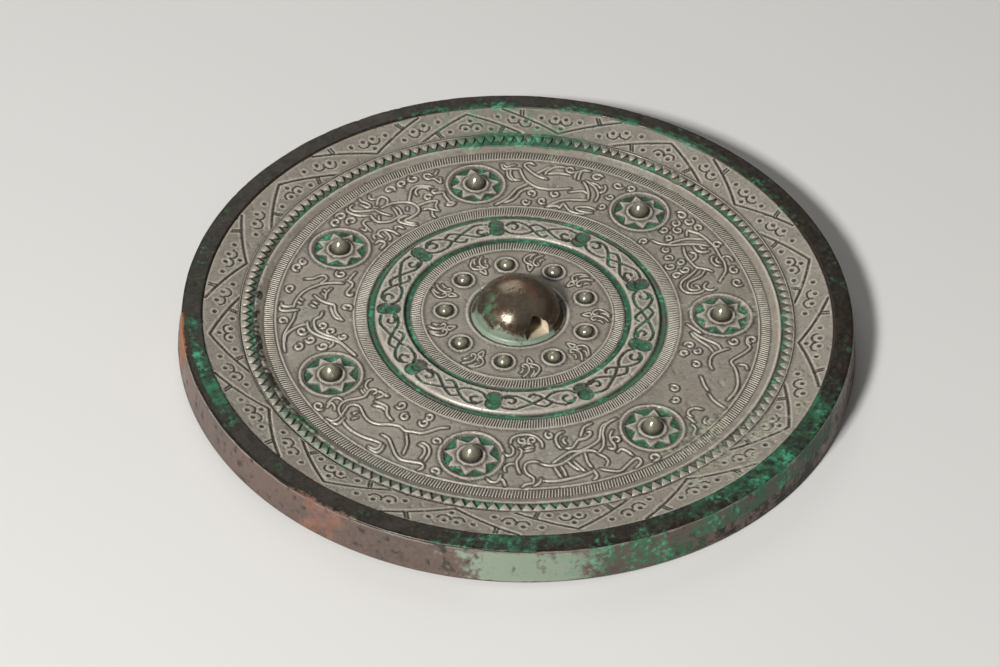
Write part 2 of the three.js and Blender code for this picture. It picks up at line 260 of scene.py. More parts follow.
PATCHES = (
    # the sunk rings, green all the way round
    Patch(Stain.MALACHITE, 0, 180, 33.2, 35.2, 0.8),
    Patch(Stain.MALACHITE, 0, 180, 44.3, 46.6, 0.68),
    Patch(Stain.MALACHITE, 0, 180, 81.5, 84.9, 0.6, -1, FIELD + 1.5),
    Patch(Stain.MALACHITE, 0, 180, 85.45, 85.9, 0.5),
    Patch(Stain.MALACHITE, 60, 26, 80.2, 86.2, 0.7),
    Patch(Stain.MALACHITE, 60, 30, 86.0, 97.0, 0.42),
    Patch(Stain.MALACHITE, 0, 180, 15.5, 97.0, 0.2),
    Patch(Stain.MALACHITE, -75, 30, 60.0, 97.0, 0.3),
    Patch(Stain.MALACHITE, 200, 30, 78.0, 86.0, 0.5),
    # painted shadow on the bank's side that is turned from the key light
    Patch(Stain.SOOT, 175, 42, 79.4, 82.0, 0.55),
    # the plain band
    Patch(Stain.SOOT, 0, 180, 96.9, 103.6, 0.95, FIELD + 4.3, 30),
    Patch(Stain.MALACHITE, -72, 32, 96.9, 106, 0.66, 5, 30),
    Patch(Stain.MALACHITE, 45, 62, 96.5, 99.4, 0.56, FIELD + 3.5, 30),
    Patch(Stain.MALACHITE, 172, 16, 96.9, 101.5, 0.7, FIELD + 4, 30),
    Patch(Stain.MALACHITE, -118, 20, 96.9, 103.5, 0.52, FIELD + 4, 30),
    Patch(Stain.MALACHITE, 0, 180, 96.9, 103.5, 0.3, FIELD + 4, 30),
    # the wall
    # painted shade on the wall's side that is turned away from the key light
    Patch(Stain.SOOT, 60, 110, 102, 106, 0.8, 0, FIELD + 4.6),
    # the lower part of the wall darker round minus 75 degrees
    Patch(Stain.SOOT, -75, 30, 102, 106, 0.5, 0, 6),
    Patch(Stain.PALE, -117, 14, 102.8, 106, 0.78, 1.5, 11.5),
    Patch(Stain.MALACHITE, -98, 16, 102.8, 106, 0.6, 0, 12),
    Patch(Stain.CUPRITE, -151, 8, 102.0, 106, 0.5, 0, 30),
    Patch(Stain.OCHRE, 161, 6, 102.5, 106, 0.8, 4, 30),
    Patch(Stain.CUPRITE, 172, 12, 102.5, 106, 0.34, 0, 11),
    # the crusted side of the back, and a bare spot
    Patch(Stain.CRUST, -70, 22, 72.0, 97.0, 0.46),
    Patch(Stain.CRUST, -25, 18, 50.0, 97.0, 0.3),
    Patch(Stain.CRUST, 0, 180, 16.0, 97.0, 0.18),
    Patch(Stain.CUPRITE, 23, 1.6, 80.8, 84.2, 0.95),
    # the reflecting face
    Patch(Stain.SOOT, 0, 180, 0, 104.4, 0.55, -1, 1.1),
    Patch(Stain.MALACHITE, 40, 50, 60, 106, 0.4, -1, 1.3),
)


def stain_masks(x: np.ndarray, y: np.ndarray, z: np.ndarray) -> dict[Stain, np.ndarray]:
    """How strongly each stain covers each point, the strongest patch counting."""
    masks = {stain: np.zeros(np.shape(x)) for stain in Stain}
    for patch in PATCHES:
        masks[patch.stain] = np.maximum(masks[patch.stain], patch.over(x, y, z))
    return masks


# ---------------------------------------------------------------- node trees


class Wire:
    """A node's output that adds Math nodes when it is used in an expression."""

    def __init__(self, graph: "Graph", node: bpy.types.Node, output: int | str = 0) -> None:
        """Holds one output of a node."""
        self.graph, self.node, self.socket = graph, node, node.outputs[output]

    def other(self, output: int | str) -> "Wire":
        """Another output of the same node."""
        return Wire(self.graph, self.node, output)

    def __add__(self, value: "Wire | float") -> "Wire":
        """The sum."""
        return self.graph.math("ADD", self, value)

    def __sub__(self, value: "Wire | float") -> "Wire":
        """The difference."""
        return self.graph.math("SUBTRACT", self, value)

    def __rsub__(self, value: float) -> "Wire":
        """A number less this value."""
        return self.graph.math("SUBTRACT", value, self)

    def __mul__(self, value: "Wire | float") -> "Wire":
        """The product."""
        return self.graph.math("MULTIPLY", self, value)

    def __truediv__(self, value: "Wire | float") -> "Wire":
        """The quotient."""
        return self.graph.math("DIVIDE", self, value)

    def __rtruediv__(self, value: float) -> "Wire":
        """A number divided by this value."""
        return self.graph.math("DIVIDE", value, self)

    __radd__ = __add__
    __rmul__ = __mul__

    def limited(self) -> "Wire":
        """The value, kept from 0 to 1."""
        return self.graph.math("ADD", self, 0.0, clamp=True)


class Graph:
    """Adds nodes to a shader or geometry tree."""

    def __init__(self, tree: bpy.types.NodeTree) -> None:
        """Starts on a tree."""
        self.tree = tree

    def node(self, kind: str, settings: dict | None = None, sockets: dict | None = None, output: int | str = 0) -> Wire:
        """Adds a node.

        Args:
            kind: the node's type.
            settings: its properties, set before its sockets; "stops" fills a colour ramp.
            sockets: values or wires for its inputs, by name or number.
            output: the output that the wire holds.

        Returns:
            A wire on the node's output.
        """
        node = self.tree.nodes.new(kind)
        for name, value in (settings or {}).items():
            if name == "stops":
                self._fill_ramp(node, value)
            else:
                setattr(node, name, value)
        for name, value in (sockets or {}).items():
            if isinstance(value, Wire):
                self.tree.links.new(value.socket, node.inputs[name])
            else:
                node.inputs[name].default_value = value
        return Wire(self, node, output)

    def _fill_ramp(self, node: bpy.types.Node, stops: list[tuple[float, Colour]]) -> None:
        """Sets the stops of a colour ramp."""
        ramp = node.color_ramp
        while len(ramp.elements) < len(stops):
            ramp.elements.new(0.5)
        for element, (place, colour) in zip(ramp.elements, stops):
            element.position, element.color = place, colour

    def math(self, operation: str, first: Wire | float, second: Wire | float = 0.0, clamp: bool = False) -> Wire:
        """Adds a Math node."""
        return self.node("ShaderNodeMath", {"operation": operation, "use_clamp": clamp}, {0: first, 1: second})

    def mix(self, share: Wire | float, first: Wire | Colour, second: Wire | Colour) -> Wire:
        """Blends two colours."""
        settings = {"data_type": "RGBA", "clamp_factor": True}
        return self.node("ShaderNodeMix", settings, {0: share, 6: first, 7: second}, output=2)

    def noise(self, place: Wire, size: float, detail: float = 3.0, shift: float = 0.0) -> Wire:
        """Noise with features about size millimetres wide, stretched to fill 0 to 1."""
        moved = self.node("ShaderNodeVectorMath", {"operation": "ADD"}, {0: place, 1: (shift, -shift, 0.7 * shift)})
        sockets = {"Vector": moved, "Scale": 1 / size, "Detail": detail, "Roughness": 0.6}
        grain = self.node("ShaderNodeTexNoise", {"noise_dimensions": "3D"}, sockets)
        return ((grain - 0.3) * 2.5).limited()

    def vector(self, x: Wire | float, y: Wire | float, z: Wire | float) -> Wire:
        """Joins three numbers to a vector."""
        return self.node("ShaderNodeCombineXYZ", None, {0: x, 1: y, 2: z})


class Jig:
    """A Geometry Nodes tree with named inputs, run on a mesh to make a plain one."""

    def __init__(self, name: str) -> None:
        """Starts an empty tree with a geometry in and a geometry out."""
        self.tree = bpy.data.node_groups.new(name, "GeometryNodeTree")
        self.graph = Graph(self.tree)
        self.identifiers: dict[str, str] = {}
        self.tree.interface.new_socket("Geometry", in_out="INPUT", socket_type="NodeSocketGeometry")
        self.tree.interface.new_socket("Geometry", in_out="OUTPUT", socket_type="NodeSocketGeometry")
        self.entry = self.tree.nodes.new("NodeGroupInput")

    def input(self, name: str, kind: str) -> Wire:
        """Adds a named input and returns its wire."""
        item = self.tree.interface.new_socket(name, in_out="INPUT", socket_type=f"NodeSocket{kind}")
        self.identifiers[name] = item.identifier
        return Wire(self.graph, self.entry, name)

    def geometry(self) -> Wire:
        """The geometry that comes in."""
        return Wire(self.graph, self.entry, "Geometry")

    def close(self, geometry: Wire, finish: Wire) -> None:
        """Ends the tree in Realize Instances and Set Material."""
        real = self.graph.node("GeometryNodeRealizeInstances", None, {"Geometry": geometry})
        dressed = self.graph.node("GeometryNodeSetMaterial", None, {"Geometry": real, "Material": finish})
        leave = self.tree.nodes.new("NodeGroupOutput")
        self.tree.links.new(dressed.socket, leave.inputs["Geometry"])

    def run(self, name: str, mesh: bpy.types.Mesh, values: dict[str, object]) -> bpy.types.Object:
        """Runs the tree on a mesh.

        Args:
            name: the name of the finished piece.
            mesh: the mesh that the tree starts from.
            values: the inputs, by name.

        Returns:
            An object with the finished mesh and no modifier.
        """
        piece = bpy.data.objects.new(name, mesh)
        bpy.context.scene.collection.objects.link(piece)
        modifier = piece.modifiers.new(self.tree.name, "NODES")
        modifier.node_group = self.tree
        for key, value in values.items():
            modifier[self.identifiers[key]] = value
        bpy.context.view_layer.update()
        evaluated = piece.evaluated_get(bpy.context.evaluated_depsgraph_get())
        made = bpy.data.meshes.new_from_object(evaluated)
        piece.modifiers.clear()
        piece.data = made
        made.name = name
        return piece


def thread_jig() -> Jig:
    """Sweeps a round section along the edges of a mesh, scaled by their "girth"."""
    jig = Jig("thread")
    graph = jig.graph
    girth, sides = jig.input("Girth", "Float"), jig.input("Sides", "Int")
    finish = jig.input("Finish", "Material")
    path = graph.node("GeometryNodeMeshToCurve", None, {"Mesh": jig.geometry()})
    section = graph.node("GeometryNodeCurvePrimitiveCircle", None, {"Resolution": sides, "Radius": girth})
    scale = graph.node("GeometryNodeInputNamedAttribute", {"data_type": "FLOAT"}, {"Name": "girth"})
    sockets = {"Curve": path, "Profile Curve": section, "Scale": scale, "Fill Caps": True}
    swept = graph.node("GeometryNodeCurveToMesh", None, sockets)
    jig.close(swept, finish)
    return jig


def copies(jig: Jig, points: Wire, turn: Wire, size: Wire) -> Wire:
    """Puts a turned and scaled copy of the jig's "Copy" object on each point."""
    graph = jig.graph
    shape = graph.node("GeometryNodeObjectInfo", None, {"Object": jig.input("Copy", "Object")}, output="Geometry")
    rotation = graph.node("FunctionNodeEulerToRotation", None, {0: graph.vector(0.0, 0.0, turn)})
    sockets = {"Points": points, "Instance": shape, "Rotation": rotation, "Scale": graph.vector(size, size, size)}
    return graph.node("GeometryNodeInstanceOnPoints", None, sockets)


def ring_jig() -> Jig:
    """Sets copies at even steps round a ring, each a little uneven."""
    jig = Jig("ring")
    graph = jig.graph
    count, radius, rise = jig.input("Count", "Int"), jig.input("Radius", "Float"), jig.input("Height", "Float")
    start, lean = jig.input("Start", "Float"), jig.input("Lean", "Float")
    uneven, seed = jig.input("Uneven", "Float"), jig.input("Seed", "Int")
    finish = jig.input("Finish", "Material")
    circle = graph.node("GeometryNodeMeshCircle", None, {"Vertices": count, "Radius": radius})
    sockets = {"Geometry": circle, "Translation": graph.vector(0.0, 0.0, rise), "Rotation": graph.vector(0.0, 0.0, start)}
    points = graph.node("GeometryNodeTransform", None, sockets)
    chance = {2: uneven * -1.0, 3: uneven, "Seed": seed}
    wander = graph.node("FunctionNodeRandomValue", {"data_type": "FLOAT"}, chance, output=1)
    growth = graph.node("FunctionNodeRandomValue", {"data_type": "FLOAT"}, {**chance, "Seed": seed + 1.0}, output=1)
    index = graph.node("GeometryNodeInputIndex")
    turn = index * (2 * math.pi) / count + start + lean + wander
    jig.close(copies(jig, points, turn, growth + 1.0), finish)
    return jig


def place_jig() -> Jig:
    """Sets copies on the points of a mesh, turned by "turn" and scaled by "growth"."""
    jig = Jig("place")
    finish = jig.input("Finish", "Material")
    turn, size = (
        jig.graph.node("GeometryNodeInputNamedAttribute", {"data_type": "FLOAT"}, {"Name": name})
        for name in ("turn", "growth")
    )
    jig.close(copies(jig, jig.geometry(), turn, size), finish)
    return jig


# ---------------------------------------------------------------- finishes


GRAIN = (0.35, 1.3, 1.0)  # how the casting's fine streaks are drawn out along X


@dataclass(frozen=True)
class BronzeFinish:
    """Old cast bronze with the stains that the attributes carry, a painted highlight on raised tops and painted shade
    in hollows.
    """

    name: str
    light: Colour
    deep: Colour
    warm: Colour
    # the painted highlight colour for raised tops, and the painted shade colour for hollows
    crest_highlight: Colour
    hollow: Colour
    metallic: float
    roughness: float
    pitting: float = 1.0

    MALACHITE_DARK = tone("12261a")
    MALACHITE_BRIGHT = tone("2d7350")
    MALACHITE_FRESH = tone("3f9a72")
    CRUST_PALE = tone("a9a690")
    CRUST_DARK = tone("3c4034")
    CUPRITE = tone("5c2f22")
    BARE = tone("96705f")
    PALE_GREEN = tone("81917e")
    OCHRE = tone("8a5228")
    SOOT = tone("16140f")

    def material(self) -> bpy.types.Material:
        """The node material of this finish."""
        material = bpy.data.materials.new(self.name)
        material.use_nodes = True
        material.node_tree.nodes.clear()
        graph = Graph(material.node_tree)
        place = graph.node("ShaderNodeTexCoord", output="Object")
        place = graph.node("ShaderNodeVectorMath", {"operation": "SCALE"}, {0: place, "Scale": 1000.0})
        broad, middle = graph.noise(place, 24), graph.noise(place, 6, shift=3)
        fine, grain = graph.noise(place, 1.5, shift=9), graph.noise(place, 0.5, 2, shift=5)
        relief = graph.node("ShaderNodeAttribute", {"attribute_name": "relief"}, output="Color")
        stains = graph.node("ShaderNodeAttribute", {"attribute_name": "stains"}, output="Color")
        crest_highlight, hollow, malachite = self._channels(graph, relief)
        cuprite, pale, ochre = self._channels(graph, stains)
        crust, dark_and_shade = relief.other("Alpha"), stains.other("Alpha")

        streaks = graph.noise(graph.node("ShaderNodeVectorMath", {"operation": "MULTIPLY"}, {0: place, 1: GRAIN}), 1.1)
        colour = graph.mix(middle * 0.4 + fine * 0.3 + streaks * 0.35, self.deep, self.light)
        colour = graph.mix(broad * 0.55, colour, self.warm)
        # Painted highlight on raised tops and painted shade in hollows.
        colour = graph.mix(crest_highlight * (0.45 + 0.5 * fine), colour, self.crest_highlight)
        colour = graph.mix(hollow * (0.7 + 0.4 * grain), colour, self.hollow)
        speck = ((grain * 0.6 + fine * 0.6 - 0.8) * 4.0).limited()
        colour = graph.mix(speck * 0.68, colour, self.hollow)

        dark_and_shade_cover = self._cover(dark_and_shade, middle, fine, 5.0)
        colour = graph.mix(dark_and_shade_cover, colour, graph.mix(fine, self.SOOT, tone("33291c")))
        cuprite_cover = self._cover(cuprite, middle, fine, 3.0)
        colour = graph.mix(cuprite_cover * 0.9, colour, graph.mix(broad * fine, self.BARE, self.CUPRITE))
        ochre_cover = self._cover(ochre, middle, fine, 4.0)
        colour = graph.mix(ochre_cover, colour, self.OCHRE)
        pale_cover = self._cover(pale, middle, fine, 3.0)
        colour = graph.mix(pale_cover * 0.85, colour, self.PALE_GREEN)
        fresh = graph.noise(place, 9, 4, shift=21)
        green_cover = self._cover(malachite, broad * 0.3 + middle * 0.7, fine, 2.2)
        green = graph.mix((fine * 0.5 + middle * 0.8 - 0.25).limited(), self.MALACHITE_DARK, self.MALACHITE_BRIGHT)
        green = graph.mix(((fresh * 0.7 + fine * 0.5 - 0.72) * 3.5).limited(), green, self.MALACHITE_FRESH)
        colour = graph.mix(green_cover * 0.88, colour, green)
        crust_cover = self._cover(crust, middle, fine, 4.0)
        crusted = graph.mix(((grain * 0.4 + fine - 0.5) * 2.2).limited(), self.CRUST_DARK, self.CRUST_PALE)
        colour = graph.mix(crust_cover * 0.62, colour, crusted)

        dull = (green_cover + crust_cover + pale_cover * 0.7 + ochre_cover * 0.6 + hollow * 0.6 + dark_and_shade_cover * 0.25).limited()
        roughness = (self.roughness + 0.14 * (middle - 0.5) + 0.3 * dull - 0.08 * crest_highlight).limited()
        metallic = (self.metallic * (1 - dull * 0.9)).limited()
        height = fine * 0.5 + grain * 0.35 * self.pitting + middle * 0.5 + crust_cover * grain * 0.8 - speck * 0.5
        sockets = {"Strength": 0.45, "Distance": 0.12 * MM, "Height": height}
        normal = graph.node("ShaderNodeBump", None, sockets)
        shader = graph.node(
            "ShaderNodeBsdfPrincipled",
            None,
            {"Base Color": colour, "Metallic": metallic, "Roughness": roughness, "Normal": normal},
        )
        end = graph.tree.nodes.new("ShaderNodeOutputMaterial")
        graph.tree.links.new(shader.socket, end.inputs["Surface"])
        return material

    def _channels(self, graph: Graph, colour: Wire) -> tuple[Wire, Wire, Wire]:
        """The three numbers that a colour attribute carries."""
        split = graph.node("ShaderNodeSeparateColor", None, {"Color": colour})
        return split, split.other(1), split.other(2)

    def _cover(self, mask: Wire, large: Wire, small: Wire, sharpness: float) -> Wire:
        """Where a stain covers the metal: nowhere for 0, everywhere for 1, in patches between."""
        return ((mask * 1.3 + large * 0.65 + small * 0.35 - 1.0) * sharpness).limited()


class Finishes:
    """The finishes of the mirror, made once."""

    def __init__(self) -> None:
        """Makes the node materials."""
        back = dict(
            light=tone("a19b8f"), deep=tone("68635a"), warm=tone("8a7d6e"), crest_highlight=tone("c9c2b4"), hollow=tone("1e1b15")
        )
        self.back = BronzeFinish("silver_patina", metallic=0.22, roughness=0.46, **back).material()
        rim = dict(
            light=tone("6f625a"), deep=tone("443c37"), warm=tone("7b645b"), crest_highlight=tone("9c938a"), hollow=tone("171410")
        )
        self.rim = BronzeFinish("rim_bronze", metallic=0.5, roughness=0.36, pitting=0.8, **rim).material()
        knob = dict(
            light=tone("6b6253"), deep=tone("3a3a30"), warm=tone("6e4a36"), crest_highlight=tone("9a8f7c"), hollow=tone("1d1b15")
        )
        self.knob = BronzeFinish("polished_bronze", metallic=0.72, roughness=0.26, pitting=0.6, **knob).material()
        boss = dict(
            light=tone("8b8877"), deep=tone("565648"), warm=tone("77705c"), crest_highlight=tone("aaa593"), hollow=tone("26241c")
        )
        self.boss = BronzeFinish("worn_boss", metallic=0.55, roughness=0.3, pitting=0.6, **boss).material()
        # Painted light: a pale finish for the half of the cord hole that faces the key light.
        bore = dict(
            light=tone("d8cdb8"), deep=tone("b3a68e"), warm=tone("c7b08c"), crest_highlight=tone("e2d9c6"), hollow=tone("6a5d49")
        )
        self.bore = BronzeFinish("bore_crust", metallic=0.0, roughness=0.8, **bore).material()


# ---------------------------------------------------------------- meshes


def put_colour(mesh: bpy.types.Mesh, name: str, values: np.ndarray) -> None:
    """Stores four numbers for each point of a mesh."""
    layer = mesh.attributes.get(name) or mesh.attributes.new(name, "FLOAT_COLOR", "POINT")
    layer.data.foreach_set("color", np.ascontiguousarray(values, dtype=np.float32).ravel())


def points_of(mesh: bpy.types.Mesh) -> np.ndarray:
    """The points of a mesh, in part millimetres."""
    flat = np.zeros(3 * len(mesh.vertices), np.float32)
    mesh.vertices.foreach_get("co", flat)
    return flat.reshape(-1, 3).astype(float) / MM


def stain(mesh: bpy.types.Mesh, relief: np.ndarray | None = None) -> None:
    """Stores the relief and stain attributes of a mesh.

    Args:
        mesh: the finished mesh.
        relief: four numbers a point, painted highlight on raised tops, painted shade in hollows, malachite and crust,
            or None to keep the mesh's own.
    """
    points = points_of(mesh)
    if relief is None:
        flat = np.zeros(4 * len(points), np.float32)
        mesh.attributes["relief"].data.foreach_get("color", flat)
        relief = flat.reshape(-1, 4)
    layers = {"relief": relief.astype(float), "stains": np.zeros((len(points), 4))}
    for kind, mask in stain_masks(*points.T).items():
        name, channel = kind.value
        layers[name][:, channel] = np.maximum(layers[name][:, channel], mask)
    for name, values in layers.items():
        put_colour(mesh, name, values)


def new_mesh(name: str, points: np.ndarray, faces: list[list[int]]) -> bpy.types.Mesh:
    """A smooth-shaded mesh from points in part millimetres."""
    mesh = bpy.data.meshes.new(name)
    mesh.from_pydata((points * MM).tolist(), [], faces)
    mesh.shade_smooth()
    return mesh


def grid_faces(rows: int, sectors: int, closed: bool) -> np.ndarray:
    """Quads between rows of points, each row running once round the plate.

    Args:
        rows: how many rows there are.
        sectors: how many points a row has.
        closed: whether the last row is joined to the first.

    Returns:
        Four point numbers for each quad.
    """
    row = np.arange(rows if closed else rows - 1)[:, None]
    column = np.arange(sectors)[None, :]
    after, beside = (row + 1) % rows, (column + 1) % sectors
    corners = [row * sectors + column, after * sectors + column, after * sectors + beside, row * sectors + beside]
    return np.stack(np.broadcast_arrays(*corners), -1).reshape(-1, 4)


def shell(name: str, rings: np.ndarray, top: list[float], bottom: list[float]) -> bpy.types.Mesh:
    """A closed shell from rings of points listed from its top to its bottom, with a point at each end."""
    rows, sectors, _ = rings.shape
    points = np.vstack([rings.reshape(-1, 3), top, bottom])
    faces = grid_faces(rows, sectors, closed=False).tolist()
    crown, base, last = rows * sectors, rows * sectors + 1, (rows - 1) * sectors
    faces += [[crown, i, (i + 1) % sectors] for i in range(sectors)]
    faces += [[base, last + (i + 1) % sectors, last + i] for i in range(sectors)]
    return new_mesh(name, points, faces)


def turned(name: str, profile: Points, sectors: int) -> bpy.types.Mesh:
    """A closed body turned from a profile of [radius, height], from its top to its bottom, both on the axis."""
    angle = np.linspace(0, 2 * math.pi, sectors, endpoint=False)
    inner = profile[1:-1]
    rings = np.array([[(r * math.cos(a), r * math.sin(a), z) for a in angle] for r, z in inner])
    return shell(name, rings, [0, 0, profile[0][1]], [0, 0, profile[-1][1]])


def mark_relief(mesh: bpy.types.Mesh, low: float, high: float, wear: float = 1.0) -> None:
    """Paints a small copy's points from painted shade at one height to a painted highlight, as strong as wear asks, at
    another.
    """
    height = points_of(mesh)[:, 2]
    rise = soft_step(height, low, high)
    # wear sets the strength of the painted highlight
    put_colour(mesh, "relief", np.stack([wear * rise, 1 - soft_step(height, low, (low + high) / 2), 0 * rise, 0 * rise], 1))


def held(mesh: bpy.types.Mesh) -> bpy.types.Object:
    """An object that only holds a mesh to be copied."""
    holder = bpy.data.objects.new(mesh.name, mesh)
    bpy.context.scene.collection.objects.link(holder)
    return holder


def mount_piece(piece: bpy.types.Object) -> bpy.types.Object:
    """Puts a finished piece on the casting's body and logs its face count."""
    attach(piece, BODY)
    LOG.info("%s: %d faces", piece.name, len(piece.data.polygons))
    return piece


def show(mesh: bpy.types.Mesh, *materials: bpy.types.Material) -> bpy.types.Object:
    """An object for a finished mesh, mounted on the casting."""
    for material in materials:
        mesh.materials.append(material)
    piece = bpy.data.objects.new(mesh.name, mesh)
    bpy.context.scene.collection.objects.link(piece)
    return mount_piece(piece)


@dataclass
class ReliefRing:
    """A ring of the decorated back, as heights over a polar grid."""

    name: str
    inner: float
    outer: float
    rows: int
    sectors: int
    depth: float = 1.5  # how far the ring reaches down into the plate

    def __post_init__(self) -> None:
        """Lays out the grid on the plain profile."""
        self.radii = np.linspace(self.inner, self.outer, self.rows)
        angles = np.arange(self.sectors) * 2 * math.pi / self.sectors
        self.radius, self.angle = np.meshgrid(self.radii, angles, indexing="ij")
        self.x, self.y = self.radius * np.cos(self.angle), self.radius * np.sin(self.angle)
        drift = 0.22 * (WARP.at(self.x, self.y, 0 * self.x, 21, 2) - 0.5)
        self.height = back_height(self.radius + drift)
        self.green = np.zeros_like(self.height)
        self.shade = np.zeros_like(self.height)

    def window(self, x: float, y: float, reach: float) -> tuple[slice, np.ndarray]:
        """The rows and columns of the grid within reach of a point."""
        radius, angle = math.hypot(x, y), math.atan2(y, x)
        rows = slice(int(np.searchsorted(self.radii, radius - reach)), int(np.searchsorted(self.radii, radius + reach)))
        half = reach / max(radius - reach, 0.3 * radius)
        step = 2 * math.pi / self.sectors
        columns = np.arange(math.floor((angle - half) / step), math.ceil((angle + half) / step) + 1)
        return rows, columns % self.sectors

    def distance_to(self, paths: list[np.ndarray], reach: float) -> np.ndarray:
        """Distance of each grid point to the nearest of some lines, no more than reach."""
        near = np.full(self.height.shape, reach)
        for path in paths:
            for (ax, ay), (bx, by) in zip(path, path[1:]):
                dx, dy = bx - ax, by - ay
                length = math.hypot(dx, dy)
                if length == 0:
                    continue
                rows, columns = self.window((ax + bx) / 2, (ay + by) / 2, reach + length / 2)
                x, y = self.x[rows, columns] - ax, self.y[rows, columns] - ay
                along = np.clip((x * dx + y * dy) / length**2, 0, 1)
                distance = np.hypot(x - along * dx, y - along * dy)
                near[rows, columns] = np.minimum(near[rows, columns], distance)
        return near

    def cut(self, paths: list[np.ndarray], width: float, depth: float, green: float = 0.0) -> None:
        """Cuts rounded grooves along lines, with a faint lip."""
        near = self.distance_to(paths, width * 1.6)
        groove = bump(near, width / 2)
        self.height += 0.18 * depth * bump(near - width * 0.75, width * 0.45) - depth * groove
        self.green = np.maximum(self.green, green * groove)
        self.shade = np.maximum(self.shade, soft_step(groove, 0.1, 0.6))

    def spread_foot(self, paths: list[np.ndarray], width: float, rise: float) -> None:
        """Raises a low foot under threads, with dark along both its sides, partly grime and partly painted shade."""
        near = self.distance_to(paths, width * 2.2)
        self.height += rise * bump(near, width)
        beside = 1 - soft_step(np.abs(near - width * 1.1), 0.2 * width, 0.95 * width)
        self.height -= 0.12 * beside
        self.shade = np.maximum(self.shade, 0.95 * beside)

    def local(self, x: float, y: float, reach: float) -> tuple[slice, np.ndarray, np.ndarray, np.ndarray]:
        """The window round a point, with the distance and direction of its grid points from it."""
        rows, columns = self.window(x, y, reach)
        dx, dy = self.x[rows, columns] - x, self.y[rows, columns] - y
        return rows, columns, np.hypot(dx, dy), np.arctan2(dy, dx)

    def _blurred(self, values: np.ndarray, reach: int) -> np.ndarray:
        """Values averaged over the neighbours in both directions, twice."""
        width = 2 * reach + 1
        for _ in range(2):
            across = sum(np.roll(values, k, axis=1) for k in range(-reach, reach + 1)) / width
            padded = np.pad(across, ((reach, reach), (0, 0)), mode="edge")
            values = sum(padded[k : k + self.rows] for k in range(width)) / width
        return values

    def build(self, material: bpy.types.Material) -> bpy.types.Object:
        """Ages the surface, paints highlights on its raised tops and shade in its hollows, and makes the closed ring.
        """
        flat = 0 * self.x
        for low, high in COMB_GROUNDS:
            self.shade = np.maximum(self.shade, 0.8 * (self.radius > low) * (self.radius < high))
        crust = stain_masks(self.x, self.y, self.height)[Stain.CRUST]
        lumps = PITS.at(self.x, self.y, flat, 3.2, 3)
        covered = soft_step(crust * 1.3 + lumps, 1.0, 1.3) * crust
        # Painted highlight on raised tops and painted shade in hollows, from the height against its blur.
        sharp = self.height - self._blurred(self.height, 2)
        crest_highlight, hollow = np.clip(sharp / 0.1, 0, 1), np.clip(-sharp / 0.12, 0, 1)
        hollow = np.maximum(hollow, self.shade)
        self.height += 0.16 * covered * (0.4 + PITS.at(self.y, self.x, flat, 1.4, 2))
        self.height += 0.1 * (WARP.at(self.x, self.y, flat, 9, 3) - 0.5)
        self.height -= 0.18 * soft_step(PITS.at(self.y, self.x, flat, 1.6, 2), 0.82, 0.97)
        rows = np.stack([self.x, self.y, self.height], -1)
        root = np.stack([rows[-1], rows[0]])
        root[:, :, 2] = np.stack([self.height[-1], self.height[0]]).min(axis=1, keepdims=True) - self.depth
        rings = np.concatenate([rows, root])
        faces = grid_faces(len(rings), self.sectors, closed=True)
        mesh = new_mesh(self.name, rings.reshape(-1, 3), faces.tolist())
        relief = np.zeros((*rings.shape[:2], 4))
        relief[: self.rows] = np.stack([0.75 * crest_highlight, hollow, self.green, covered], -1)
        stain(mesh, relief.reshape(-1, 4))
        return show(mesh, material)


def sweep(name: str, jig: Jig, paths: list[np.ndarray], girth: float, material: bpy.types.Material) -> bpy.types.Object:
    """Raised threads along lines on the plate.

    Args:
        name: the piece's name.
        jig: the tree that sweeps the threads.
        paths: the lines, as [x, y].
        girth: radius of a thread at its thickest.
        material: the finish.

    Returns:
        The finished piece, mounted.
    """
    points, edges, scales = [], [], []
    for path in paths:
        first = len(points)
        last = len(path) - 1
        radius = np.hypot(*path.T)
        height = back_height(radius) - 0.25 * girth
        for i, (x, y) in enumerate(path):
            fade = min(1.0, 0.35 + 0.5 * min(i, last - i))
            wear = 0.82 + 0.3 * float(SPREAD.at(x, y, 0.0, 7, 1))
            points.append((x, y, height[i]))
            scales.append(fade * wear)
        edges += [(first + i, first + i + 1) for i in range(last)]
    mesh = bpy.data.meshes.new(name)
    mesh.from_pydata((np.array(points) * MM).tolist(), edges, [])
    mesh.attributes.new("girth", "FLOAT", "POINT").data.foreach_set("value", scales)
    piece = jig.run(name, mesh, {"Girth": girth * MM, "Sides": 6, "Finish": material})
    made = piece.data
    made.shade_smooth()
    normals = np.zeros(3 * len(made.vertices), np.float32)
    made.vertex_normals.foreach_get("vector", normals)
    up = normals.reshape(-1, 3)[:, 2]
    # Painted highlight on the tops of the threads, painted shade under them.
    crest_highlight, hollow = np.clip(up * 1.3 - 0.2, 0, 1), np.clip(0.25 - up, 0, 1)
    stain(made, np.stack([crest_highlight, hollow, 0 * up, 0 * up], 1))
    return mount_piece(piece)


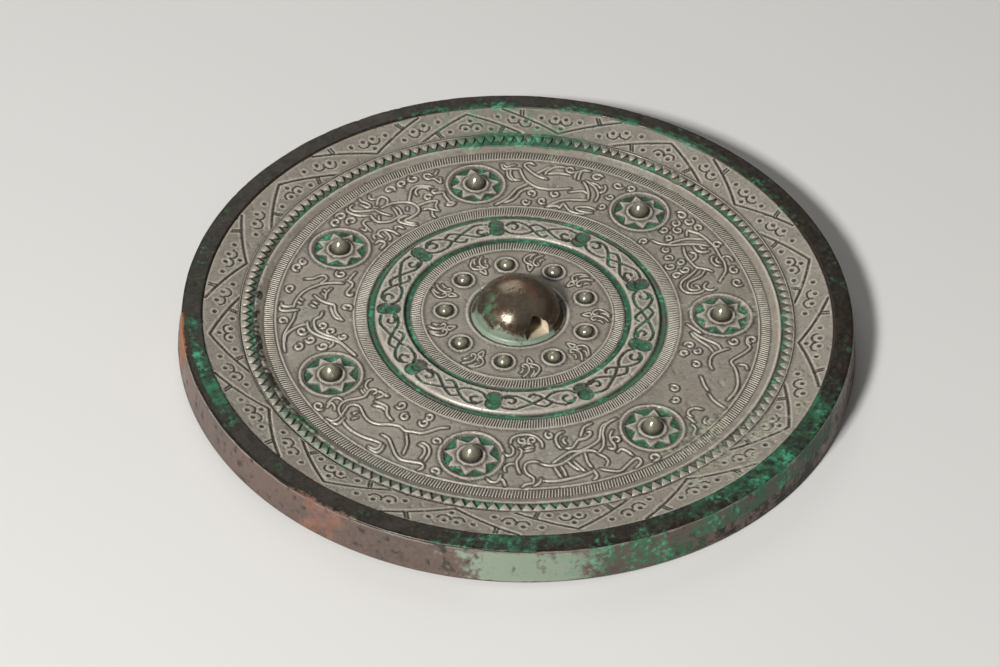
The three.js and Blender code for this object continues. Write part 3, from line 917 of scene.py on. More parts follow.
@dataclass
class Workshop:
    """What the sub-assemblies share: the jigs and the finishes."""

    threads: Jig = field(default_factory=thread_jig)
    rings: Jig = field(default_factory=ring_jig)
    places: Jig = field(default_factory=place_jig)
    finishes: Finishes = field(default_factory=Finishes)

    def around(self, name: str, copy: bpy.types.Mesh, values: dict[str, float], finish: bpy.types.Material) -> bpy.types.Object:
        """Copies of a small mesh at even steps round a ring, mounted.

        Args:
            name: the piece's name.
            copy: the mesh that is copied.
            values: the ring jig's inputs, lengths in part millimetres and angles in degrees.
            finish: the material.

        Returns:
            The finished piece.
        """
        holder = held(copy)
        scaled = {
            "Count": int(values["count"]),
            "Radius": values["radius"] * MM,
            "Height": values["height"] * MM,
            "Start": math.radians(values.get("start", 0.0)),
            "Lean": math.radians(values.get("lean", 0.0)),
            "Uneven": values.get("uneven", 0.0),
            "Seed": int(values.get("seed", 1)),
            "Copy": holder,
            "Finish": finish,
        }
        return self._finish(self.rings.run(name, bpy.data.meshes.new(name), scaled), holder)

    def on_points(self, name: str, copy: bpy.types.Mesh, spots: list[tuple[float, float, float, float, float]], finish: bpy.types.Material) -> bpy.types.Object:
        """Copies of a small mesh on spots of x, y, height, turn in radians and growth, mounted."""
        holder = held(copy)
        table = np.array(spots)
        mesh = bpy.data.meshes.new(name)
        mesh.from_pydata((table[:, :3] * MM).tolist(), [], [])
        for column, key in ((3, "turn"), (4, "growth")):
            mesh.attributes.new(key, "FLOAT", "POINT").data.foreach_set("value", table[:, column].tolist())
        return self._finish(self.places.run(name, mesh, {"Copy": holder, "Finish": finish}), holder)

    def _finish(self, piece: bpy.types.Object, holder: bpy.types.Object) -> bpy.types.Object:
        """Stains a piece made of copies, mounts it and drops the copied mesh."""
        bpy.data.objects.remove(holder)
        stain(piece.data)
        return mount_piece(piece)


def stroke_mesh(length: float, width: float, height: float) -> bpy.types.Mesh:
    """One raised stroke of a comb ring, along X, with a narrow rounded back."""
    section = [(-0.5, 0.0), (-0.32, 0.7), (0.0, 1.0), (0.32, 0.7), (0.5, 0.0)]
    ends = [(-0.5, 0.55), (-0.38, 1.0), (0.38, 1.0), (0.5, 0.55)]
    points = [(along * length, across * width, up * height * rise) for along, rise in ends for across, up in section]
    count = len(section)
    faces = []
    for i in range(len(ends) - 1):
        for k in range(count - 1):
            a = i * count + k
            faces.append([a, a + count, a + count + 1, a + 1])
        faces.append([i * count + count - 1, (i + 1) * count + count - 1, (i + 1) * count, i * count])
    faces += [list(range(count)), list(range((len(ends) - 1) * count, len(ends) * count))[::-1]]
    mesh = new_mesh("stroke", np.array(points), faces)
    mark_relief(mesh, 0.1 * height, height)
    return mesh


def tooth_mesh(length: float, base: float, low: float, high: float) -> bpy.types.Mesh:
    """One sawtooth along X, pointing inwards, with bevelled top edges."""
    rims = [(0.0, low), (0.0, 0.86 * high), (0.16, high)]
    points = []
    for inset, z in rims:
        tip, side = -length * (1 - 1.4 * inset), base / 2 * (1 - inset)
        points += [(tip, 0.0, z - 0.1 * (z > low)), (0.0, side, z), (0.0, -side, z)]
    faces = [[3 * i + k, 3 * i + (k + 1) % 3, 3 * i + 3 + (k + 1) % 3, 3 * i + 3 + k] for i in range(2) for k in range(3)]
    faces = [face[::-1] for face in faces] + [[6, 8, 7], [0, 1, 2]]
    mesh = new_mesh("tooth", np.array(points), faces)
    mark_relief(mesh, low, high, 0.35)
    return mesh


# ---------------------------------------------------------------- sub-assemblies


@dataclass
class Plate:
    """The body of the mirror: wall, plain band and the bowed reflecting face."""

    sectors: int = 900
    band_inner: float = 97.0
    band_outer: float = 102.4
    top_radius: float = 103.3
    foot_radius: float = 105.0

    def profile(self) -> Points:
        """Radius and height from under the knob, out over the band, down the wall and back below."""
        top = FIELD + BAND_RISE
        hidden = [(1.0, FIELD - 1.2), (40.0, FIELD - 1.2), (77.5, FIELD - 1.2), (86.0, FIELD + 1.1), (96.7, FIELD + 3.1)]
        step = [(96.85, top - 0.75), (self.band_inner, top - 0.25), (97.25, top)]
        band = [(r, top) for r in np.arange(97.7, self.band_outer, 0.42)]
        edge = [(102.6, top - 0.02), (102.95, top - 0.1), (103.2, top - 0.28), (self.top_radius + 0.03, top - 0.55)]
        lean = self.foot_radius - self.top_radius
        wall_top, wall_foot = top - 0.85, WALL_FOOT + 0.6
        drops = np.linspace(0, 1, 20)
        wall = [(self.top_radius + 0.1 + (lean - 0.18) * d, wall_top + (wall_foot - wall_top) * d) for d in drops]
        foot = [(self.foot_radius, WALL_FOOT + 0.25), (self.foot_radius - 0.12, WALL_FOOT - 0.02)]
        below = [(r, self.bow(r)) for r in (*np.linspace(104.4, FLAT_RADIUS, 22), 24, 16, 8, 2)]
        return hidden + step + band + edge + wall + foot + below

    def bow(self, radius: float) -> float:
        """Height of the reflecting face, which bows down to its flat spot."""
        return WALL_FOOT * (max(0.0, radius - FLAT_RADIUS) / (self.foot_radius - FLAT_RADIUS)) ** 2

    def build(self, shop: Workshop) -> bpy.types.Object:
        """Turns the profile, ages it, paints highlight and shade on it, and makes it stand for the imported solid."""
        profile = np.array(self.profile())
        angle = np.arange(self.sectors) * 2 * math.pi / self.sectors
        radius = np.repeat(profile[:, :1], self.sectors, axis=1)
        height = np.repeat(profile[:, 1:], self.sectors, axis=1)
        cos, sin = np.cos(angle)[None], np.sin(angle)[None]
        x, y = radius * cos, radius * sin
        on_top = soft_step(height, FIELD + 3.6, FIELD + 4.2) * soft_step(radius, 96.8, 97.3)
        on_wall = soft_step(radius, 103.1, 103.5) * soft_step(height, WALL_FOOT + 0.2, WALL_FOOT + 1.2)
        rough = PITS.at(x, y, height, 5, 4) - 0.5
        green = stain_masks(x, y, height)[Stain.MALACHITE]
        pits = soft_step(PITS.at(y, x, height, 1.9, 2), 0.74, 0.95)
        swell = (0.16 + 0.3 * green) * rough - 0.16 * pits
        height = height + on_top * swell
        radius = radius + on_wall * (0.75 * swell - 0.12) + 0.1 * on_wall * (WARP.at(x, y, height, 26, 2) - 0.5)
        rings = np.stack([radius * cos, radius * sin, height], -1)
        mesh = shell("plate", rings, [0, 0, FIELD - 1.2], [0, 0, 0])
        slope = np.gradient(swell, axis=0)
        # Painted highlight on the band's bumps and outer edge, painted shade in pits and on slopes.
        crest_highlight = np.clip(on_top * rough * 1.4 + soft_step(radius, 102.5, 103.2) * on_top, 0, 1)
        hollow = np.clip(pits * (on_top + on_wall) * 0.8 + np.abs(slope) * 1.2, 0, 1)
        relief = np.stack([crest_highlight, hollow, 0 * crest_highlight, 0 * crest_highlight], -1).reshape(-1, 4)
        stain(mesh, np.vstack([relief, np.zeros((2, 4))]))
        piece = show(mesh, shop.finishes.rim)
        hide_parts(NODE)
        return piece


@dataclass
class BossRing:
    """The zone round the knob: nine small bosses, a curling motif between each two, and a comb ring."""

    count: int = 9
    circle: float = 22.4
    start: float = -9.0
    boss_radius: float = 2.15
    boss_height: float = 2.1
    collar: float = 3.65
    strokes: int = 236
    reference: float = 23.0

    MOTIF = (
        [(-2.2, 28.3), (-1.0, 26.8), (-0.4, 25.0), (-0.7, 23.5), (-1.7, 22.9), (-2.3, 23.7), (-1.7, 24.3)],
        [(0.3, 28.4), (2.0, 26.5), (2.4, 24.8), (1.5, 23.5), (0.5, 23.4), (0.2, 24.3), (0.9, 24.7)],
        [(-0.7, 22.5), (-0.5, 21.4), (0.0, 20.2), (0.7, 21.4), (1.0, 22.5), (0.2, 22.9), (-0.7, 22.5)],
        [(-2.9, 26.6), (-2.2, 25.7), (-2.3, 24.9)],
        [(-0.4, 28.4), (0.5, 27.2), (0.8, 26.0)],
    )

    def motifs(self) -> list[np.ndarray]:
        """The lines of all the motifs."""
        pitch = 360 / self.count
        lines = []
        for i in range(self.count):
            spot = Unrolled(self.start + pitch * (i + 0.5), self.reference)
            lines += [spot.line(list(stroke), 0.45) for stroke in self.MOTIF]
        return lines

    def build(self, shop: Workshop) -> None:
        """Makes the ground, the bosses, the motifs and the comb strokes."""
        ring = ReliefRing("boss_ring", 13.3, 33.05, 62, 540)
        for i in range(self.count):
            angle = math.radians(self.start + 360 / self.count * i)
            x, y = self.circle * math.cos(angle), self.circle * math.sin(angle)
            rows, columns, away, _ = ring.local(x, y, self.collar + 1.5)
            ring.height[rows, columns] += 0.42 * bump(away - self.collar + 0.25, 0.5) - 0.12 * (away < self.collar - 0.5)
            foot = 1 - soft_step(np.abs(away - self.boss_radius - 0.15), 0.15, 0.6)
            ring.shade[rows, columns] = np.maximum(ring.shade[rows, columns], foot)
        lines = self.motifs()
        ring.spread_foot(lines, 0.5, 0.1)
        ring.build(shop.finishes.back)
        sweep("boss_ring_curls", shop.threads, lines, 0.36, shop.finishes.back)
        boss = turned("small_boss", self.dome(), 20)
        mark_relief(boss, 0.0, self.boss_height)
        values = {"count": self.count, "radius": self.circle, "height": FIELD - 0.1, "start": self.start}
        shop.around("small_bosses", boss, values, shop.finishes.boss)
        comb = {"count": self.strokes, "radius": 31.5, "height": FIELD - 0.16, "lean": -12, "uneven": 0.06, "seed": 3}
        shop.around("inner_comb", stroke_mesh(3.2, 0.52, 0.3), comb, shop.finishes.back)

    def dome(self) -> Points:
        """Profile of a small boss."""
        steps = 6
        arc = [math.radians(90 * i / steps) for i in range(steps)]
        rounded = [(self.boss_radius * math.sin(a), self.boss_height * math.cos(a)) for a in arc]
        return [*rounded, (self.boss_radius, 0.0), (self.boss_radius + 0.1, -0.3), (0.0, -0.4)]


@dataclass
class ScrollRing:
    """The raised band of dark scrolls between two green sunk rings, with the middle comb ring."""

    units: int = 9
    start: float = -8.5  # degrees, first pair of lobes
    middle: float = 39.8
    reference: float = 40.0
    line_width: float = 1.05
    depth: float = 0.42
    strokes: int = 382

    LINES = (
        [(-11.0, 2.4), (-8.0, 2.9), (-5.0, 1.7), (-2.0, 0.4), (0.7, -0.9)],
        [(-3.0, -2.3), (-2.0, -3.1), (-0.5, -3.0), (1.0, -1.8), (2.5, -0.3), (4.5, 1.5), (7.0, 2.8), (9.2, 2.6),
         (10.6, 1.2)],
        [(9.6, 1.9), (7.9, 1.9), (7.1, 0.6), (7.9, -0.5), (8.9, -0.5)],
        [(-11.5, -1.8), (-10.0, -2.6), (-7.0, -2.6), (-5.0, -1.6), (-3.0, -0.2), (-1.0, 1.2), (1.2, 2.2), (3.0, 1.4)],
        [(2.0, -1.0), (4.0, -2.5), (7.0, -3.0), (10.0, -2.4), (11.5, -0.8)],
        [(-10.4, -1.6), (-8.6, -1.9), (-7.3, -0.8), (-8.2, 0.5), (-9.2, 0.2)],
    )  # fmt: skip

    def build(self, shop: Workshop) -> None:
        """Makes the ground with its cuts, and the comb strokes."""
        ring = ReliefRing("scroll_ring", 33.05, 50.2, 60, 920)
        pitch = 360 / self.units
        lines = []
        for i in range(self.units):
            lobes = math.radians(self.start + pitch * i)
            for offset in (1.4, -1.1):
                radius = self.middle + offset
                x, y = radius * math.cos(lobes), radius * math.sin(lobes)
                rows, columns, away, _ = ring.local(x, y, 3.6)
                dish = 1 - soft_step(away, 1.95, 2.5)
                ring.height[rows, columns] -= np.minimum(dish, 0.9) * self.depth * 0.8
                ring.green[rows, columns] = np.maximum(ring.green[rows, columns], 0.72 * dish)
                rim = 1 - soft_step(np.abs(away - 2.35), 0.1, 0.5)
                ring.shade[rows, columns] = np.maximum(ring.shade[rows, columns], np.maximum(rim, 0.45 * dish))
            unit = Unrolled(self.start + pitch * (i + 0.5), self.reference)
            for line in self.LINES:
                lines.append(unit.line([(along, self.middle + rise) for along, rise in line], 0.5))
        ring.cut(lines, self.line_width, self.depth, green=0.55)
        ring.build(shop.finishes.back)
        comb = {"count": self.strokes, "radius": 48.4, "height": FIELD - 0.16, "lean": -10, "uneven": 0.05, "seed": 5}
        shop.around("middle_comb", stroke_mesh(3.6, 0.5, 0.3), comb, shop.finishes.back)


@dataclass(frozen=True)
class Creature:
    """The raised lines of one creature, as points of [distance, radius], and its curls."""

    name: str
    strokes: tuple[Points, ...]
    curls: Points


CREATURES = (
    Creature(
        "dragon",
        (
            [(17.5, 65.6), (19.8, 67.8), (21.5, 69.3), (25, 70.4), (28, 70.4), (31, 70.9), (35, 70.8), (38.5, 70.2),
             (40.5, 69), (41.8, 68), (40.2, 66.3)],
            [(15, 60.3), (13.5, 58), (13.8, 55), (15.5, 53.3), (18, 53), (20.5, 54.2), (22, 56.5), (23.5, 59), (25, 60.8)],
            [(15.2, 58.5), (14.9, 57), (15.8, 55.4), (17.5, 55.1), (19.5, 56.2), (20.5, 58.5), (21.5, 61), (23.5, 63)],
            [(15, 58.6), (17, 58.3), (17.3, 57.6)],
            [(17.8, 61.5), (16.5, 60.3), (15, 60.3), (14, 62), (14.5, 63.5)],
            [(22.5, 65), (24, 63.5), (25.5, 61.3), (27, 60.7), (30, 60.4), (33, 60.7), (36, 62)],
            [(33, 69.5), (35, 67), (36.8, 64), (38, 61.5), (39, 59.5), (41, 57.5), (43, 56.3), (45, 55.8)],
            [(36, 69.8), (38, 67), (39.2, 64.5), (40, 61), (40.2, 58.8)],
            [(23.8, 68.5), (24.5, 67.3), (26.3, 66.8), (28, 67.5), (28.5, 68.8)],
            [(25, 69), (26.3, 68.3), (27.5, 69.2)],
            [(24.8, 73.2), (26.5, 73), (27.2, 71.8), (26.8, 70.5)],
            [(31, 68.3), (31.2, 66.5), (32.8, 65), (35, 65.1)],
            [(32.5, 68), (33, 67), (34.5, 67)],
            [(29, 60.8), (30, 63), (31.8, 63.7), (33.2, 62.5)],
        ),
        [(26, 57.3), (30, 57.3), (34, 55), (38, 56.6), (24, 53.6), (29.5, 53.6), (16, 71), (21, 72), (32.3, 72.2),
         (41, 72), (44.7, 71.2), (48, 71.5), (43.7, 65.7), (46.5, 67.3), (46.5, 62.3), (42.7, 60.8), (46.5, 53.3)],
    ),
    Creature(
        "bird",
        (
            [(17.3, 60), (17.6, 63), (19.5, 65.8), (22, 67.5), (23.5, 68.3)],
            [(20, 60), (20.8, 62.5), (22.2, 65), (24.2, 67.5)],
            [(22.5, 68), (20, 67.8), (18.5, 66.8), (17.9, 67.5)],
            [(17.8, 64.5), (16.7, 65.5), (16.8, 67.3), (17.6, 68.5)],
            [(27.2, 63), (30, 61.8), (33, 60.9), (36, 60.7), (38.5, 61.2), (40.5, 62.5), (42, 64), (43, 66),
             (43.8, 68.5), (44, 70)],
            [(35.5, 65.8), (38, 66.5), (40, 68), (41.5, 69.8), (42.7, 71.5), (42.5, 72.8), (41, 73.2), (40, 72.5)],
            [(23.8, 73.4), (25.8, 73), (26.2, 71), (26, 68)],
            [(26.5, 72.6), (27.3, 71), (27.3, 68.5)],
            [(31, 73), (33.5, 72.5), (35, 71), (36, 69.5), (36.4, 68.2)],
            [(35, 72.3), (36.5, 70.8), (38, 69), (39, 68.2)],
            [(29, 69.5), (32, 69.5), (35.5, 68.5)],
            [(40.8, 63), (43, 61.3), (45, 59.8), (46.5, 57.5), (48.5, 55), (51, 53.2), (53.5, 52)],
            [(39.5, 60.5), (42, 59.8), (44, 58), (45.2, 55.8), (47, 54), (50, 52.8)],
            [(21, 62.3), (23, 63), (25, 62), (27, 61)],
            [(20, 59.3), (22.5, 58.3), (26, 57.3), (29, 55.8), (31.5, 53.5), (33.3, 51.8)],
            [(15.5, 56), (18, 56.1), (20.5, 55.3), (22.3, 54.2), (21, 53.2), (18, 53.4), (15.7, 53.9)],
            [(16.5, 53.6), (18.5, 52.3), (21, 51.7), (24, 52), (26, 53.5), (27.5, 54.8), (28.2, 52.4), (29.5, 53),
             (33, 51.9)],
            [(44, 70), (47, 70), (49, 70), (49.5, 72.5)],
            [(45.5, 72), (48, 71), (49, 72.5)],
            [(46.8, 70), (47, 67), (46, 64.5), (44, 64.2)],
            [(48, 69), (47.8, 66), (46.5, 64)],
        ),
        [(10.3, 71.5), (14, 70.5), (13.8, 64), (14, 58.5), (21, 71.3), (29.3, 72.3), (40, 57.8), (41.7, 53.3),
         (31.5, 58.8), (35.5, 54.5)],
    ),
    Creature(
        "winged_man",
        (
            [(34.8, 65.9), (31, 65.4), (28, 64), (26, 62.5), (25, 60.3), (25.2, 58), (27, 56.6), (30, 56.1),
             (32.3, 56.2), (33, 55.6), (32, 54), (30.5, 52.8)],
            [(30.2, 57.5), (32, 57.9), (34, 57.8), (34.8, 56.8), (34, 55), (32.5, 53), (31, 51.8)],
            [(26, 63), (24, 65.5), (22.5, 67.5), (20.5, 68.5), (18.5, 68), (16.5, 66.5), (16, 66)],
            [(22, 64.5), (21.8, 66), (20.5, 67.2), (19, 67.2), (17.5, 66.3), (17.6, 65.3)],
            [(25, 59.8), (22, 59.8), (19, 59.6), (17.4, 58.8), (19, 57), (19.4, 55)],
            [(24, 57.3), (22, 56.8), (21, 55.8), (19.3, 54.3)],
            [(21.3, 55.5), (22.5, 53.3), (22.3, 51.9)],
            [(31, 63.5), (30.8, 61.5), (31.5, 59.5), (31.8, 58.8)],
            [(32, 63.5), (32.3, 61.5), (33, 59.5)],
            [(36.8, 66), (36.5, 64), (35.5, 61.8), (35, 61)],
            [(31.5, 59), (34, 58.7), (37, 58.8), (39, 60), (40.3, 61.5), (40.2, 63.5), (39.6, 65.3)],
            [(38, 63.3), (39.7, 61.3)],
            [(27.8, 61), (28.8, 59.8)],
            [(32.5, 66), (31, 67.5), (31, 69.3), (32, 70.2), (33.5, 69.3), (35, 67.8)],
            [(36.8, 66.2), (38.5, 67.3), (40.5, 69), (41.8, 71), (41.5, 72.8), (40, 73.2)],
            [(40, 65.6), (42, 67.5), (43, 70), (43.2, 72), (42.5, 73.3)],
            [(37, 73.8), (37.3, 72.5), (36.7, 70.5), (36.8, 68.8), (37.8, 68.8), (38.5, 71.5)],
            [(33.8, 73.2), (34.7, 72), (34.3, 70.8), (33.2, 70.3)],
            [(13.6, 62), (13.9, 60), (13.4, 56.5)],
            [(11.8, 55.9), (13.5, 56.6), (15.2, 55.9), (13.5, 55.2), (11.8, 55.9)],
            [(13.6, 62.3), (16.6, 62.8), (16.8, 64), (15.5, 64.3)],
            [(11.7, 73.3), (13, 71.5)],
            [(12, 69.5), (12.8, 67), (14, 69.8), (15.5, 70), (16.3, 71.5), (15.8, 72.8), (14.5, 72.5), (14, 71.5)],
            [(41.7, 64), (42.5, 64.8), (44, 64.3), (44.8, 62), (45.3, 60)],
            [(44.8, 62.3), (46.3, 61.3), (46.5, 63)],
            [(40, 52.2), (40.3, 55), (41.5, 57), (43.5, 57.8), (45, 57), (45.2, 55)],
            [(42.2, 57), (42.5, 55), (43.5, 53), (44.8, 52.6)],
            [(45, 57.5), (46.5, 58), (47.5, 56.5)],
            [(49.5, 55), (47.5, 54.8), (46.8, 53.3), (48, 52.2), (50.5, 52.2)],
            [(36, 53.5), (36.5, 55), (37.7, 55.6), (38.6, 54.9)],
        ),
        [(19.5, 72.3), (23.3, 72), (27.8, 71.5), (45.5, 68), (46, 72), (48.8, 71.5), (19.3, 61.8)],
    ),
    Creature(
        "beast",
        (
            [(17.8, 56), (18.5, 59), (20, 62.5), (22.5, 65.5), (25, 67.5), (28, 68.8), (31, 69.4)],
            [(16, 55), (17, 53.2), (18.5, 52.8), (20, 53.2), (22.5, 53.8), (23.8, 53.2), (23.6, 52), (22.5, 52)],
            [(11, 53.8), (14, 54.3), (15.5, 54.5)],
            [(25.5, 63.5), (27, 62), (28.3, 60), (29.2, 57.5), (30, 56.7), (33, 56.3), (36, 55), (37.5, 54.2)],
            [(30.5, 58), (33, 57.3), (35.5, 56.5), (37, 55)],
            [(18.8, 68), (18, 65.5), (16.3, 63.8), (15.9, 62.5), (17, 61.5), (18.5, 62), (20, 63)],
            [(30.5, 69.4), (31, 71), (30.6, 73), (29.5, 73.3)],
            [(30.8, 73.6), (32.3, 73.4), (32.7, 71.5), (32.4, 69), (32.2, 68)],
            [(33.5, 68.7), (36, 69.2), (39, 70.7), (42, 72.3), (45, 72.9), (48.5, 73.3)],
            [(45.5, 72.8), (42.5, 72), (40.5, 70), (39, 67.5), (38.3, 65.3)],
            [(37.5, 65), (40, 64.8), (42, 64), (44, 62), (45.5, 60), (47, 58), (49, 56), (52, 54.8), (56.5, 53.3)],
            [(33, 60.3), (35, 60.8), (36.8, 62.8), (40, 62.8), (42, 62), (44, 60), (45.5, 57.8), (48, 56)],
            [(47, 57.8), (49, 58.5), (49.8, 59.8)],
            [(21.3, 59), (24, 60), (26.5, 60)],
            [(22.5, 61), (23.2, 60.3)],
            [(24.2, 61.4), (24.9, 60.6)],
            [(28.3, 63.6), (29.2, 62.2)],
            [(29.8, 64.2), (30.8, 62.6)],
            [(27.2, 68), (28, 66.8)],
            [(28.8, 68.4), (29.6, 67.2)],
        ),
        [(13.5, 57.9), (12, 71), (14.6, 72), (23.5, 71.5), (36.5, 72.5), (39.5, 60.5), (41.3, 66.8), (45.3, 64.8),
         (47.5, 69), (49, 61.6), (42.5, 58), (46, 54.8), (30.5, 53)],
    ),
    Creature(
        "horned_beast",
        (
            [(18.2, 70), (15.5, 68.7), (14.2, 66.5), (14.3, 64), (15.3, 61.8), (16, 59.5), (15.4, 58), (14.7, 56.8),
             (15, 55.6), (16.2, 55), (17, 55.7), (16.9, 56.7)],
            [(18, 69.8), (17, 67.5), (16.2, 65.5), (17, 63.8), (18.5, 63.3), (20.5, 64), (23, 65), (25.5, 65.2),
             (28, 64.2), (30, 62.5), (33, 61.2), (35.5, 61.7), (38, 60.8), (40.5, 60), (42.5, 58), (44.5, 55.8),
             (47, 54.5)],
            [(20, 71), (22, 71.6), (25, 71.7), (28, 71.2), (31, 70.3), (33, 70)],
            [(31, 67), (33.5, 67.2), (36, 69.2), (38.5, 71.5), (40.5, 72.4), (43, 71.8), (45.5, 71.1), (46.5, 71.5)],
            [(16.3, 74), (18, 73.2), (18.4, 71.5), (18, 69.8)],
            [(18.3, 73.9), (19.8, 72.8), (19.5, 70.8), (19.2, 69.8)],
            [(31, 73.2), (33, 73), (33.4, 71.2), (33, 70)],
            [(31.5, 74), (34, 73.8), (34.4, 71.8), (34, 70.3)],
            [(46, 73.9), (46.8, 72.5), (46.3, 71.3)],
            [(44.8, 69.5), (45, 67), (44, 65), (42, 64.5)],
            [(46.2, 69.8), (46.2, 66.5), (45, 64.2), (43, 63.4), (42.3, 63.7)],
            [(40, 70), (39, 66), (36.5, 62.5)],
            [(12, 70), (11.3, 67.5), (12, 66), (13.5, 65.8)],
            [(13, 71), (12.4, 69), (14, 69), (15, 69.8)],
            [(13, 58.7), (14.8, 58.9)],
            [(13.2, 57.8), (14.5, 58)],
            [(14, 57), (12, 56.5), (10.7, 55), (10.5, 53.7)],
            [(19, 57), (19.7, 55.5), (19.5, 54.2), (21, 54)],
            [(16.5, 55.2), (18, 54.5), (21, 54.5)],
            [(20, 58.3), (22, 57.7), (24.5, 57.5), (26, 59), (27.5, 60), (29.5, 60.5)],
            [(21, 59.8), (23.5, 58.6), (25, 58.8)],
            [(19.4, 66.6), (19.8, 65.4)],
            [(20.9, 68.2), (21.4, 66.8)],
        ),
        [(32, 57), (27.5, 54), (39, 53.5), (38.8, 56), (11.5, 72.7), (50, 72.3), (46, 61)],
    ),
    Creature(
        "tiger",
        (
            [(13.5, 56.5), (14, 54.5), (16.5, 53.1), (20, 52.9), (22.5, 54.2), (23.9, 56.5), (23.8, 58.3)],
            [(16.5, 68.5), (15.8, 66), (15.7, 63.5), (16.8, 61.5), (17.2, 59.5), (16.5, 58.5)],
            [(17, 74), (18, 73), (19.8, 72.5), (20, 70.5), (18.5, 68.8), (17.8, 66.5), (18.5, 64.5), (20.5, 63.9),
             (22, 64.3)],
            [(20, 73.8), (21.5, 72.5), (22, 70.8)],
            [(22.5, 71.8), (26, 72.3), (30, 71.9), (34, 71.3), (36, 70.6)],
            [(22.5, 65), (25, 66), (28, 65.8), (30.5, 64.5), (33, 63), (36, 62.2), (38.5, 62.8), (39.5, 64)],
            [(26, 65), (29, 63), (32, 61.5), (35, 61.8), (39, 60.8), (42, 59.5), (43.5, 57.5), (45.5, 55), (48, 54)],
            [(27.2, 71), (26.7, 69), (26.1, 66.8)],
            [(28.6, 70.6), (28.4, 68.6), (28, 66.8)],
            [(32.5, 69.3), (31, 67), (30.2, 65.2)],
            [(33.8, 70), (32.8, 67.8), (31.9, 65.5)],
            [(36, 69), (35.6, 66.5), (36, 63)],
            [(39.8, 70), (41, 68.5), (40.8, 66.5), (39.5, 64.5)],
            [(38, 70.5), (40, 72), (42.5, 73.2), (45, 72), (47.5, 70.8), (48.5, 71)],
            [(46.5, 74), (48.5, 73), (49, 71.5), (48.3, 70.3)],
            [(35, 74), (36.3, 73), (36.2, 70.3)],
            [(43.3, 63.5), (44.5, 64.5), (45.5, 63.5), (45.5, 61), (46.3, 59), (48, 57.6)],
            [(39.8, 64), (42, 62.5), (43.5, 60), (44.5, 57.5), (46.5, 55.3), (49, 54.2), (52, 53.9)],
            [(45, 66), (46.5, 65.5), (47.5, 67), (48, 69)],
            [(29.5, 59.5), (28.8, 58), (28.8, 55.5), (30, 53.8), (32, 53)],
            [(31, 59.8), (33, 60), (34.5, 58.7), (36, 57.5), (38.3, 57.5), (40.5, 56.5), (41, 55.5), (40, 55.2)],
            [(37.2, 56), (38.5, 54.5), (40, 53), (43, 52.3)],
            [(31.5, 58), (31, 56.5), (32, 55.5)],
            [(8, 71.5), (9, 72.5), (10.5, 72.5), (11.3, 71), (11.5, 69.5)],
            [(12.8, 73.5), (12.3, 71.8), (11.3, 71)],
            [(12.5, 68), (12.3, 66.5), (13.5, 65), (14.8, 64.8)],
            [(12, 61), (13, 61.7), (14.3, 61), (14.6, 59), (13.8, 57.8)],
            [(18, 59.8), (20.5, 59.2)],
            [(18.4, 58.6), (20.8, 58)],
            [(17.5, 57.2), (19, 56.4), (20.5, 57)],
        ),
        [(17.5, 55.3), (20.8, 55.3), (27, 53.7), (47, 61.5), (52.5, 73)],
    ),
    Creature(
        "long_tailed",
        (
            [(25, 72.8), (28, 73.3), (31, 73), (34, 71.8), (37, 70), (39.5, 68), (42, 69.5), (44.5, 71.5), (46.5, 72.5),
             (48, 71.3), (50.5, 71.3)],
            [(34.5, 63.5), (36, 62.3), (39, 61.7), (41.5, 62.5), (43.5, 64.5), (44.5, 66)],
            [(43.5, 64), (45.5, 62.5), (47, 59), (48.5, 56), (50, 54.5)],
            [(42, 61.8), (44, 60), (46, 57), (48, 54.8), (49.5, 54)],
            [(49.8, 57), (51.5, 55), (54, 52.5)],
            [(22, 73.8), (22.3, 71.5), (23, 69), (24.3, 67)],
            [(13.8, 68), (14, 66.5), (15.3, 65.8), (17, 66.5), (18, 68.5)],
            [(12.7, 70), (13, 67)],
            [(9, 73), (11, 72), (11.5, 70)],
            [(14.3, 73.5), (14.5, 72), (16, 71.5)],
            [(38, 73.5), (39.3, 72.5), (39, 70.5)],
            [(25.5, 66), (27, 64), (30, 61.5)],
        ),
        [(34.5, 58.3), (43, 54.3), (38.5, 53.7), (40.7, 57), (20.5, 57), (16.5, 60), (48, 67.3), (49.5, 74 - 1.2)],
    ),
)  # fmt: skip


